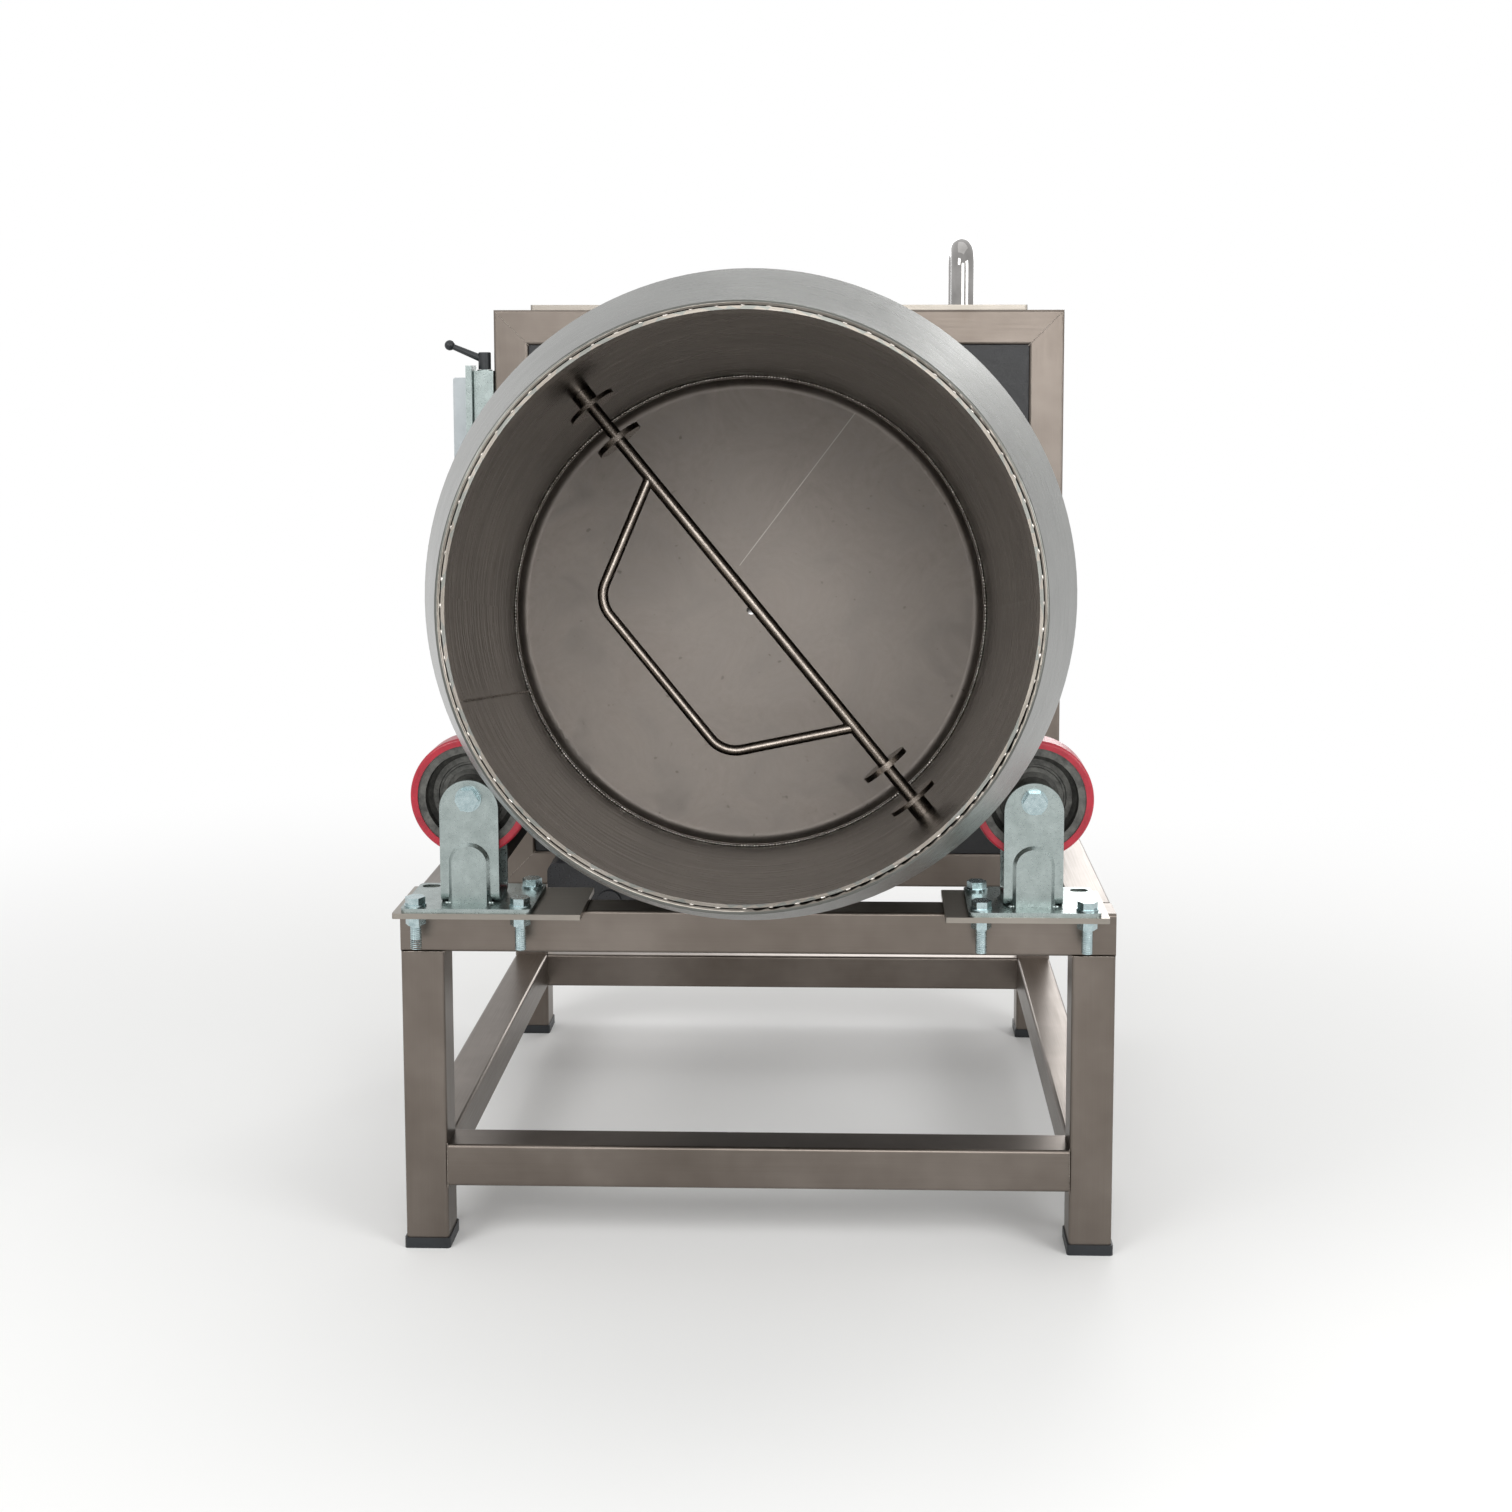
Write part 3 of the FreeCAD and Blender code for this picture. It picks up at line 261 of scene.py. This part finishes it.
def makeDiscSteel(name, s, place=drumPlace):
    material, tree = newMaterial(name)
    back = place.inverted()
    here = addNode(tree, "ShaderNodeTexCoord").outputs["Object"]
    local = addNode(tree, "ShaderNodeMapping", inputs={
        "Vector": here, "Rotation": back.to_euler(), "Location": back.translation}).outputs[0]
    clouds = addNode(tree, "ShaderNodeTexNoise", inputs={
        "Vector": local, "Scale": 1 / (s["cloudSize"] * millimetre), "Detail": 6.0, "Roughness": 0.68,
        "Distortion": 0.6})
    colour = addNode(tree, "ShaderNodeValToRGB", inputs={"Fac": clouds.outputs[0]})
    setRamp(colour, [(0.3, s["dark"]), (0.52, s["middle"]), (0.75, s["light"])])
    specks = addNode(tree, "ShaderNodeTexNoise", inputs={
        "Vector": local, "Scale": 1 / (s["speckSize"] * millimetre), "Detail": 1.0})
    speckMask = addNode(tree, "ShaderNodeMapRange", inputs={
        "Value": specks.outputs[0], "From Min": 0.74, "From Max": 0.8, "To Min": 0.0, "To Max": 0.6})
    speckled = addNode(tree, "ShaderNodeMixRGB", inputs={
        0: speckMask.outputs[0], 1: colour.outputs[0], 2: toLinear("#544d48")})
    lined = addNode(tree, "ShaderNodeMapping", {"vector_type": "TEXTURE"}, {
        "Vector": local, "Rotation": (0, 0, math.radians(s["scratchTurn"])),
        "Location": [c * millimetre for c in s["scratchFrom"]] + [0]})
    split = addNode(tree, "ShaderNodeSeparateXYZ", inputs={0: lined.outputs[0]})
    across = addNode(tree, "ShaderNodeMath", {"operation": "ABSOLUTE"}, {0: split.outputs[1]})
    near = addNode(tree, "ShaderNodeMath", {"operation": "LESS_THAN"}, {
        0: across.outputs[0], 1: s["scratchWidth"] / 2 * millimetre})
    started = addNode(tree, "ShaderNodeMath", {"operation": "GREATER_THAN"}, {0: split.outputs[0], 1: 0.0})
    ended = addNode(tree, "ShaderNodeMath", {"operation": "LESS_THAN"}, {
        0: split.outputs[0], 1: s["scratchLength"] * millimetre})
    along = addNode(tree, "ShaderNodeMath", {"operation": "MULTIPLY"}, {0: started.outputs[0], 1: ended.outputs[0]})
    scratch = addNode(tree, "ShaderNodeMath", {"operation": "MULTIPLY"}, {0: along.outputs[0], 1: near.outputs[0]})
    scratch = addNode(tree, "ShaderNodeMath", {"operation": "MULTIPLY"}, {0: scratch.outputs[0], 1: 0.6})
    # painted highlight: the scratch line is mixed towards near white, standing in for its glint
    scratchPaintedHighlight = addNode(tree, "ShaderNodeMixRGB", inputs={
        0: scratch.outputs[0], 1: speckled.outputs[0], 2: toLinear("#d8d3cc")})
    rough = addNode(tree, "ShaderNodeMapRange", inputs={
        "Value": clouds.outputs[0], "From Min": 0.3, "From Max": 0.7,
        "To Min": s["roughness"][0], "To Max": s["roughness"][1]})
    bump = addNode(tree, "ShaderNodeBump", inputs={
        "Height": clouds.outputs[0], "Strength": 0.1, "Distance": 0.001})
    shader = addNode(tree, "ShaderNodeBsdfPrincipled", inputs={
        "Base Color": scratchPaintedHighlight.outputs[0], "Metallic": 0.8, "Roughness": rough.outputs[0],
        "Normal": bump.outputs[0]})
    endMaterial(tree, shader)
    return material


drumDisc = makeDiscSteel("rolled_stainless_disc", discSteel)


# a plain paint, plastic, rubber or plated finish with its own mottle, grain and wear
def makeCoated(name, s):
    material, tree = newMaterial(name)
    place = addNode(tree, "ShaderNodeTexCoord").outputs["Object"]
    patches = addNode(tree, "ShaderNodeTexNoise", inputs={
        "Vector": place, "Scale": 1 / (s["patchSize"] * millimetre), "Detail": 5.0, "Roughness": 0.65})
    colour = addNode(tree, "ShaderNodeValToRGB", inputs={"Fac": patches.outputs[0]})
    setRamp(colour, [(0.32, s["dark"]), (0.68, s["light"])])
    grain = addNode(tree, "ShaderNodeTexNoise", inputs={
        "Vector": place, "Scale": 1 / (s["grainSize"] * millimetre), "Detail": 2.0})
    rough = addNode(tree, "ShaderNodeMapRange", inputs={
        "Value": grain.outputs[0], "From Min": 0.3, "From Max": 0.7,
        "To Min": s["roughness"][0], "To Max": s["roughness"][1]})
    bump = addNode(tree, "ShaderNodeBump", inputs={
        "Height": grain.outputs[0], "Strength": s.get("bump", 0.15), "Distance": 0.0005})
    shader = addNode(tree, "ShaderNodeBsdfPrincipled", inputs={
        "Base Color": colour.outputs[0], "Metallic": s.get("metallic", 0.0), "Roughness": rough.outputs[0],
        "Normal": bump.outputs[0]})
    endMaterial(tree, shader)
    return material


coatedFinishes = {
    # electroplated zinc, blue passivated: pale blue-grey with a fine sparkle
    "zincPlate": {"dark": "#909a98", "light": "#a3adab", "roughness": (0.24, 0.4), "patchSize": 14, "grainSize": 1.5,
                  "metallic": 1.0},
    "zincFastener": {"dark": "#9aacaf", "light": "#b7c7c9", "roughness": (0.16, 0.3), "patchSize": 6, "grainSize": 1.0,
                     "metallic": 1.0},
    # sand-cast grey iron: dark, pitted, dull
    "castIron": {"dark": "#474745", "light": "#6d6d69", "roughness": (0.5, 0.7), "patchSize": 9, "grainSize": 1.2,
                 "metallic": 0.8, "bump": 0.5},
    # poured polyurethane tread: slightly shiny, deep red
    "treadPolyurethane": {"dark": "#8e1527", "light": "#b01d31", "roughness": (0.3, 0.42), "patchSize": 16,
                          "grainSize": 1.5},
    # painted shade: the drive plate is drawn near black all over, as dark as the shade round it
    "nearBlackShadePlate": {"dark": "#0f1012", "light": "#1b1c1f", "roughness": (0.35, 0.5), "patchSize": 40, "grainSize": 1.5},
    "greyEnamel": {"dark": "#aeb4b7", "light": "#bfc5c8", "roughness": (0.3, 0.4), "patchSize": 60, "grainSize": 1.5},
    "gearboxPaint": {"dark": "#5b6a72", "light": "#6d7c84", "roughness": (0.35, 0.5), "patchSize": 30,
                     "grainSize": 1.5},
    "blackEnamel": {"dark": "#131416", "light": "#222327", "roughness": (0.25, 0.4), "patchSize": 30, "grainSize": 1.5},
    "blackPlastic": {"dark": "#131619", "light": "#1e2226", "roughness": (0.38, 0.52), "patchSize": 20,
                     "grainSize": 0.8},
    "greenPlastic": {"dark": "#178043", "light": "#1f9850", "roughness": (0.25, 0.35), "patchSize": 20,
                     "grainSize": 0.8},
    "redPlastic": {"dark": "#ab1a1c", "light": "#c42325", "roughness": (0.25, 0.35), "patchSize": 20,
                   "grainSize": 0.8},
    "chrome": {"dark": "#8b8987", "light": "#a5a3a1", "roughness": (0.04, 0.08), "patchSize": 40, "grainSize": 1.5,
               "metallic": 1.0, "bump": 0.02},
    # painted highlight: the weld beads are real, but their metal is drawn far paler than the steel round them, near
    # white, so they read bright where they sit in shade
    "weldSteelPaintedHighlight": {"dark": "#a09a93", "light": "#d6d1cb", "roughness": (0.2, 0.34), "patchSize": 8, "grainSize": 0.8,
                  "metallic": 1.0},
    "brightSteel": {"dark": "#7b736c", "light": "#978f87", "roughness": (0.22, 0.36), "patchSize": 20,
                    "grainSize": 1.0, "metallic": 1.0},
}
coated = {name: makeCoated(name, settings) for name, settings in coatedFinishes.items()}
print("materials made:", len(bpy.data.materials))

nodeFinishes = {
    "front_legs": steelUpright, "rear_posts": steelUpright, "box_posts": steelUpright,
    "front_top_rail": steelAcross, "rear_mid_rail": steelAcross, "front_stretcher": steelAcross,
    "rear_stretcher": steelAcross, "box_top_rail": steelAcross, "box_bottom_rail": steelAcross,
    "box_rear_top_rail": steelAcross, "side_top_rails": steelDeep, "side_stretchers": steelDeep,
    "box_side_ties": steelDeep, "side_panels": steelSheet, "back_panel": steelSheet, "top_cover": steelSheet,
    "base_plates": steelSheet, "drive_plate": coated["nearBlackShadePlate"], "foot_caps": coated["blackPlastic"],
    "back_panel_screws": coated["brightSteel"], "lifting_handle": coated["chrome"],
    "left_caster_fork": coated["zincPlate"], "right_caster_fork": coated["zincPlate"],
    "axle_bolts": coated["zincFastener"], "axle_washers": coated["zincFastener"],
    "axle_nuts": coated["zincFastener"], "caster_bolts": coated["zincFastener"],
    "caster_washers": coated["zincFastener"], "caster_nuts": coated["zincFastener"],
    "roller_bushes": coated["brightSteel"], "left_roller_core": coated["castIron"],
    "right_roller_core": coated["castIron"], "left_roller_tread": coated["treadPolyurethane"],
    "right_roller_tread": coated["treadPolyurethane"], "drum_cylinder": drumShell, "drum_cone": drumShell,
    "mouth_ring": drumShell, "drum_back": drumDisc, "hub_plate": steelSheet, "hub_bolts": coated["brightSteel"],
    "drum_shaft": coated["brightSteel"], "agitator_bar": coated["brightSteel"],
    "agitator_paddle": coated["brightSteel"], "agitator_fittings": coated["brightSteel"],
    "bearing_pad": coated["brightSteel"], "bearing_housing": coated["castIron"],
    "bearing_ring": coated["brightSteel"], "bearing_bolts": coated["zincFastener"],
    "gearbox": coated["gearboxPaint"], "motor_body": coated["gearboxPaint"], "motor_rotor": coated["brightSteel"],
    "rotary_union": coated["brightSteel"], "control_support": coated["zincPlate"],
    "control_box": coated["greyEnamel"], "clamp_lever": coated["blackPlastic"], "speed_knob": coated["blackPlastic"],
    "start_button": coated["greenPlastic"], "stop_button": coated["redPlastic"],
    "pump_bracket": coated["brightSteel"], "pump": coated["blackEnamel"],
}
for name, node in frame["nodes"].items():
    node.data.materials.clear()
    node.data.materials.append(nodeFinishes[name])
print("nodes finished:", len(nodeFinishes))


# welds: a row of overlapping drops laid along a line, each a little different
weldLook = {"unevenness": (0.78, 1.22), "segments": 8, "rings": 5}


def makeWeldTree(settings):
    tree = bpy.data.node_groups.new("weld_drops", "GeometryNodeTree")
    face = tree.interface
    face.new_socket("Geometry", in_out="INPUT", socket_type="NodeSocketGeometry")
    for name in ("Spacing", "Drop Length", "Drop Width"):
        face.new_socket(name, in_out="INPUT", socket_type="NodeSocketFloat")
    face.new_socket("Seed", in_out="INPUT", socket_type="NodeSocketInt")
    face.new_socket("Finish", in_out="INPUT", socket_type="NodeSocketMaterial")
    face.new_socket("Geometry", in_out="OUTPUT", socket_type="NodeSocketGeometry")
    given = addNode(tree, "NodeGroupInput").outputs
    curve = addNode(tree, "GeometryNodeMeshToCurve", inputs={"Mesh": given["Geometry"]})
    points = addNode(tree, "GeometryNodeResampleCurve", {"mode": "LENGTH"}, {
        "Curve": curve.outputs[0], "Length": given["Spacing"]})
    drop = addNode(tree, "GeometryNodeMeshUVSphere", inputs={
        "Segments": settings["segments"], "Rings": settings["rings"], "Radius": 0.5})
    aligned = addNode(tree, "FunctionNodeAlignRotationToVector", {"axis": "X"}, {
        "Vector": addNode(tree, "GeometryNodeInputTangent").outputs[0]})
    size = addNode(tree, "ShaderNodeCombineXYZ", inputs={
        0: given["Drop Length"], 1: given["Drop Width"], 2: given["Drop Width"]})
    low, high = settings["unevenness"]
    chance = addNode(tree, "FunctionNodeRandomValue", {"data_type": "FLOAT_VECTOR"}, {
        0: (low, low, low), 1: (high, high, high), "Seed": given["Seed"]})
    scale = addNode(tree, "ShaderNodeVectorMath", {"operation": "MULTIPLY"}, {
        0: size.outputs[0], 1: chance.outputs[0]})
    drops = addNode(tree, "GeometryNodeInstanceOnPoints", inputs={
        "Points": points.outputs[0], "Instance": drop.outputs[0], "Rotation": aligned.outputs[0],
        "Scale": scale.outputs[0]})
    real = addNode(tree, "GeometryNodeRealizeInstances", inputs={0: drops.outputs[0]})
    smooth = addNode(tree, "GeometryNodeSetShadeSmooth", inputs={0: real.outputs[0]})
    finished = addNode(tree, "GeometryNodeSetMaterial", inputs={
        "Geometry": smooth.outputs[0], "Material": given["Finish"]})
    addNode(tree, "NodeGroupOutput", inputs={0: finished.outputs[0]})
    return tree


# screw thread: a fine ridge wound round each bolt's shank
def makeThreadTree():
    tree = bpy.data.node_groups.new("bolt_threads", "GeometryNodeTree")
    face = tree.interface
    face.new_socket("Geometry", in_out="INPUT", socket_type="NodeSocketGeometry")
    for name in ("Shank Radius", "Pitch", "Thread Length", "Ridge"):
        face.new_socket(name, in_out="INPUT", socket_type="NodeSocketFloat")
    face.new_socket("Finish", in_out="INPUT", socket_type="NodeSocketMaterial")
    face.new_socket("Geometry", in_out="OUTPUT", socket_type="NodeSocketGeometry")
    given = addNode(tree, "NodeGroupInput").outputs
    turns = addNode(tree, "ShaderNodeMath", {"operation": "DIVIDE"}, {0: given["Thread Length"], 1: given["Pitch"]})
    helix = addNode(tree, "GeometryNodeCurveSpiral", inputs={
        "Resolution": 14, "Rotations": turns.outputs[0], "Start Radius": given["Shank Radius"],
        "End Radius": given["Shank Radius"], "Height": given["Thread Length"]})
    ridge = addNode(tree, "GeometryNodeCurvePrimitiveCircle", inputs={"Resolution": 4, "Radius": given["Ridge"]})
    wound = addNode(tree, "GeometryNodeCurveToMesh", inputs={
        "Curve": helix.outputs[0], "Profile Curve": ridge.outputs[0], "Fill Caps": True})
    placed = addNode(tree, "GeometryNodeInstanceOnPoints", inputs={
        "Points": given["Geometry"], "Instance": wound.outputs[0]})
    real = addNode(tree, "GeometryNodeRealizeInstances", inputs={0: placed.outputs[0]})
    finished = addNode(tree, "GeometryNodeSetMaterial", inputs={
        "Geometry": real.outputs[0], "Material": given["Finish"]})
    addNode(tree, "NodeGroupOutput", inputs={0: finished.outputs[0]})
    return tree


weldTree = makeWeldTree(weldLook)
threadTree = makeThreadTree()


def growPiece(name, tree, points, edges, values, body, slot):
    start = bpy.data.meshes.new(name)
    start.from_pydata(points, edges, [])
    piece = bpy.data.objects.new(name, start)
    scene.collection.objects.link(piece)
    grower = piece.modifiers.new("grow", "NODES")
    grower.node_group = tree
    for item in tree.interface.items_tree:
        if item.in_out == "INPUT" and item.name in values:
            grower[item.identifier] = values[item.name]
    bpy.context.view_layer.update()
    grown = bpy.data.meshes.new_from_object(piece.evaluated_get(bpy.context.evaluated_depsgraph_get()))
    piece.modifiers.clear()
    piece.data = grown
    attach(piece, body)
    return piece


def onDrum(x, y, z):
    return drumPlace @ (Vector((x, y, z)) * millimetre)


def ringOnDrum(radius, height, middle=(0, 0), parts=240):
    turns = [2 * math.pi * i / parts for i in range(parts)]
    points = [onDrum(middle[0] + radius * math.cos(a), middle[1] + radius * math.sin(a), height) for a in turns]
    return points, [(i, (i + 1) % parts) for i in range(parts)]


# name: radius, height above the back disc, middle across the drum, spacing, drop length, drop width, in mm
drumRings = {
    "mouth_tacks": (221.35, 686.7, (-7, -13), 19.5, 4.2, 1.4),
    "disc_weld": (252.2, 24.8, (0, 0), 3.4, 6.0, 3.4),
    "cone_weld": (252.6, 588.4, (0, 0), 3.4, 6.0, 2.0),
}
for number, (name, (radius, height, middle, spacing, length, width)) in enumerate(drumRings.items()):
    growPiece(name, weldTree, *ringOnDrum(radius, height, middle), {
        "Spacing": spacing * millimetre, "Drop Length": length * millimetre, "Drop Width": width * millimetre,
        "Seed": number, "Finish": coated["weldSteelPaintedHighlight"]}, "drum", "drum_steel")

longSeam = {"radius": 253.2, "turn": 200, "from": 27, "to": 586, "spacing": 3.2, "length": 6, "width": 2.2}


def addLongSeam(s):
    turn = math.radians(s["turn"])
    ends = [onDrum(s["radius"] * math.cos(turn), s["radius"] * math.sin(turn), s[end]) for end in ("from", "to")]
    growPiece("wall_seam", weldTree, ends, [(0, 1)], {
        "Spacing": s["spacing"] * millimetre, "Drop Length": s["length"] * millimetre,
        "Drop Width": s["width"] * millimetre, "Seed": 7, "Finish": coated["weldSteelPaintedHighlight"]}, "drum", "drum_steel")


addLongSeam(longSeam)

casterDetail = {
    "weldHalfLength": 21, "weldAhead": 23.4, "spacing": 2.6, "length": 5, "width": 3,
    "holeHalfX": 48, "holeHalfY": 34, "shankRadius": 4.9, "pitch": 1.75, "ridge": 0.45, "threadLength": 20,
}


def addCasterDetail(s):
    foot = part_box("left_caster_fork")[0].z + 4 * millimetre
    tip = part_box("caster_bolts")[0].z
    points, edges, bolts = [], [], []
    for joint, side in (("left_roller_spin", -1), ("right_roller_spin", 1)):
        x, y, _ = joints[joint]["pos_m"]
        edges.append((len(points), len(points) + 1))
        points += [(x + end * s["weldHalfLength"] * millimetre, y - s["weldAhead"] * millimetre, foot)
                   for end in (-1, 1)]
        inner, outer = (x - side * s["holeHalfX"] * millimetre), (x + side * s["holeHalfX"] * millimetre)
        front, back = y - s["holeHalfY"] * millimetre, y + s["holeHalfY"] * millimetre
        bolts += [(inner, front, tip), (outer, front, tip), (inner, back, tip)]
    growPiece("fork_welds", weldTree, points, edges, {
        "Spacing": s["spacing"] * millimetre, "Drop Length": s["length"] * millimetre,
        "Drop Width": s["width"] * millimetre, "Seed": 11, "Finish": coated["zincPlate"]}, "stand", "zinc_plate")
    growPiece("bolt_threads", threadTree, bolts, [], {
        "Shank Radius": s["shankRadius"] * millimetre, "Pitch": s["pitch"] * millimetre,
        "Thread Length": s["threadLength"] * millimetre, "Ridge": s["ridge"] * millimetre,
        "Finish": coated["zincFastener"]}, "stand", "zinc_plate")


addCasterDetail(casterDetail)

# the frame's joints are welded and dressed, which leaves a fine raised line at each one
frameJoint = {"tube": 40, "endGap": 4, "spacing": 2.2, "length": 5, "width": 1.0}


def addFrameJoints(s):
    tube, gap = s["tube"] * millimetre, s["endGap"] * millimetre
    low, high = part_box("front_top_rail")
    boxLow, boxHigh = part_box("box_posts")
    stretcherLow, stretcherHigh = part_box("front_stretcher")
    points = []
    for side, outer, boxOuter in ((1, low.x, boxLow.x), (-1, high.x, boxHigh.x)):
        inner, boxInner = outer + side * tube, boxOuter + side * tube
        points += [(outer + side * gap, low.y, low.z), (inner, low.y, low.z),
                   (inner, low.y, stretcherLow.z), (inner, low.y, stretcherHigh.z),
                   (boxOuter + side * gap, boxLow.y, boxHigh.z - gap), (boxInner, boxLow.y, boxHigh.z - tube),
                   (boxOuter + side * gap, boxLow.y, boxLow.z + gap), (boxInner, boxLow.y, boxLow.z + tube)]
    growPiece("frame_welds", weldTree, points, [(i, i + 1) for i in range(0, len(points), 2)], {
        "Spacing": s["spacing"] * millimetre, "Drop Length": s["length"] * millimetre,
        "Drop Width": s["width"] * millimetre, "Seed": 5, "Finish": coated["brightSteel"]}, "stand", "frame_steel")


addFrameJoints(frameJoint)
print("welds and threads made")

# floor and light
studio = {
    "floorSize": 14,
    "floorColour": "#f4f4f3",
    "fadeFrom": 0.75,        # metres from the middle, where the floor starts to turn into the white backdrop
    "fadeTo": 2.1,
    "ambient": 0.55,
    "lamps": {                # place, size in metres, watts
        "key": ((-1.9, -2.3, 2.3), (1.5, 1.5), 42),
        "fill": ((2.3, -1.9, 1.6), (1.3, 1.3), 34),
        "front": ((0.25, -3.2, 1.35), (1.6, 1.4), 30),
        "top": ((0.1, 0.2, 3.2), (2.6, 2.6), 12),
        "back": ((0.6, 3.0, 1.5), (1.8, 1.4), 30),
    },
}


def addFloor(settings):
    half = settings["floorSize"] / 2
    mesh = bpy.data.meshes.new("floor")
    mesh.from_pydata([(-half, -half, 0), (half, -half, 0), (half, half, 0), (-half, half, 0)], [], [(0, 1, 2, 3)])
    floor = bpy.data.objects.new("floor", mesh)
    scene.collection.objects.link(floor)
    material, tree = newMaterial("pale_floor")
    matt = addNode(tree, "ShaderNodeBsdfDiffuse", inputs={"Color": toLinear(settings["floorColour"])})
    path = addNode(tree, "ShaderNodeLightPath")
    seen = addNode(tree, "ShaderNodeMath", {"operation": "MAXIMUM"}, {
        0: path.outputs["Is Camera Ray"], 1: path.outputs["Is Glossy Ray"]})
    seen = addNode(tree, "ShaderNodeMath", {"operation": "MAXIMUM"}, {
        0: seen.outputs[0], 1: path.outputs["Is Transmission Ray"]})
    away = addNode(tree, "ShaderNodeVectorMath", {"operation": "LENGTH"}, {
        0: addNode(tree, "ShaderNodeTexCoord").outputs["Object"]})
    fade = addNode(tree, "ShaderNodeMapRange", {"interpolation_type": "SMOOTHSTEP"}, {
        "Value": away.outputs["Value"], "From Min": settings["fadeFrom"], "From Max": settings["fadeTo"],
        "To Min": 0.0, "To Max": 1.0})
    share = addNode(tree, "ShaderNodeMath", {"operation": "MULTIPLY"}, {0: seen.outputs[0], 1: fade.outputs[0]})
    white = addNode(tree, "ShaderNodeEmission", inputs={"Color": (1, 1, 1, 1), "Strength": 1.0})
    mix = addNode(tree, "ShaderNodeMixShader", inputs={
        0: share.outputs[0], 1: matt.outputs[0], 2: white.outputs[0]})
    endMaterial(tree, mix)
    mesh.materials.append(material)


def addLamps(settings):
    for name, (place, size, watts) in settings["lamps"].items():
        data = bpy.data.lights.new(name, "AREA")
        data.shape, data.size, data.size_y, data.energy = "RECTANGLE", size[0], size[1], watts
        lamp = bpy.data.objects.new(name, data)
        lamp.location = place
        lamp.rotation_euler = (Vector((0, 0, 0.5)) - Vector(place)).to_track_quat("-Z", "Y").to_euler()
        scene.collection.objects.link(lamp)
    world = bpy.data.worlds.new("studio")
    scene.world = world
    world.use_nodes = True
    tree = world.node_tree
    tree.nodes.clear()
    path = addNode(tree, "ShaderNodeLightPath")
    seen = addNode(tree, "ShaderNodeMath", {"operation": "MAXIMUM"}, {
        0: path.outputs["Is Camera Ray"], 1: path.outputs["Is Glossy Ray"]})
    seen = addNode(tree, "ShaderNodeMath", {"operation": "MAXIMUM"}, {
        0: seen.outputs[0], 1: path.outputs["Is Transmission Ray"]})
    soft = addNode(tree, "ShaderNodeBackground", inputs={"Color": (1, 1, 1, 1), "Strength": settings["ambient"]})
    white = addNode(tree, "ShaderNodeBackground", inputs={"Color": (1, 1, 1, 1), "Strength": 1.0})
    mix = addNode(tree, "ShaderNodeMixShader", inputs={
        0: seen.outputs[0], 1: soft.outputs[0], 2: white.outputs[0]})
    addNode(tree, "ShaderNodeOutputWorld", inputs={"Surface": mix.outputs[0]})


addFloor(studio)
addLamps(studio)
print("studio lit")
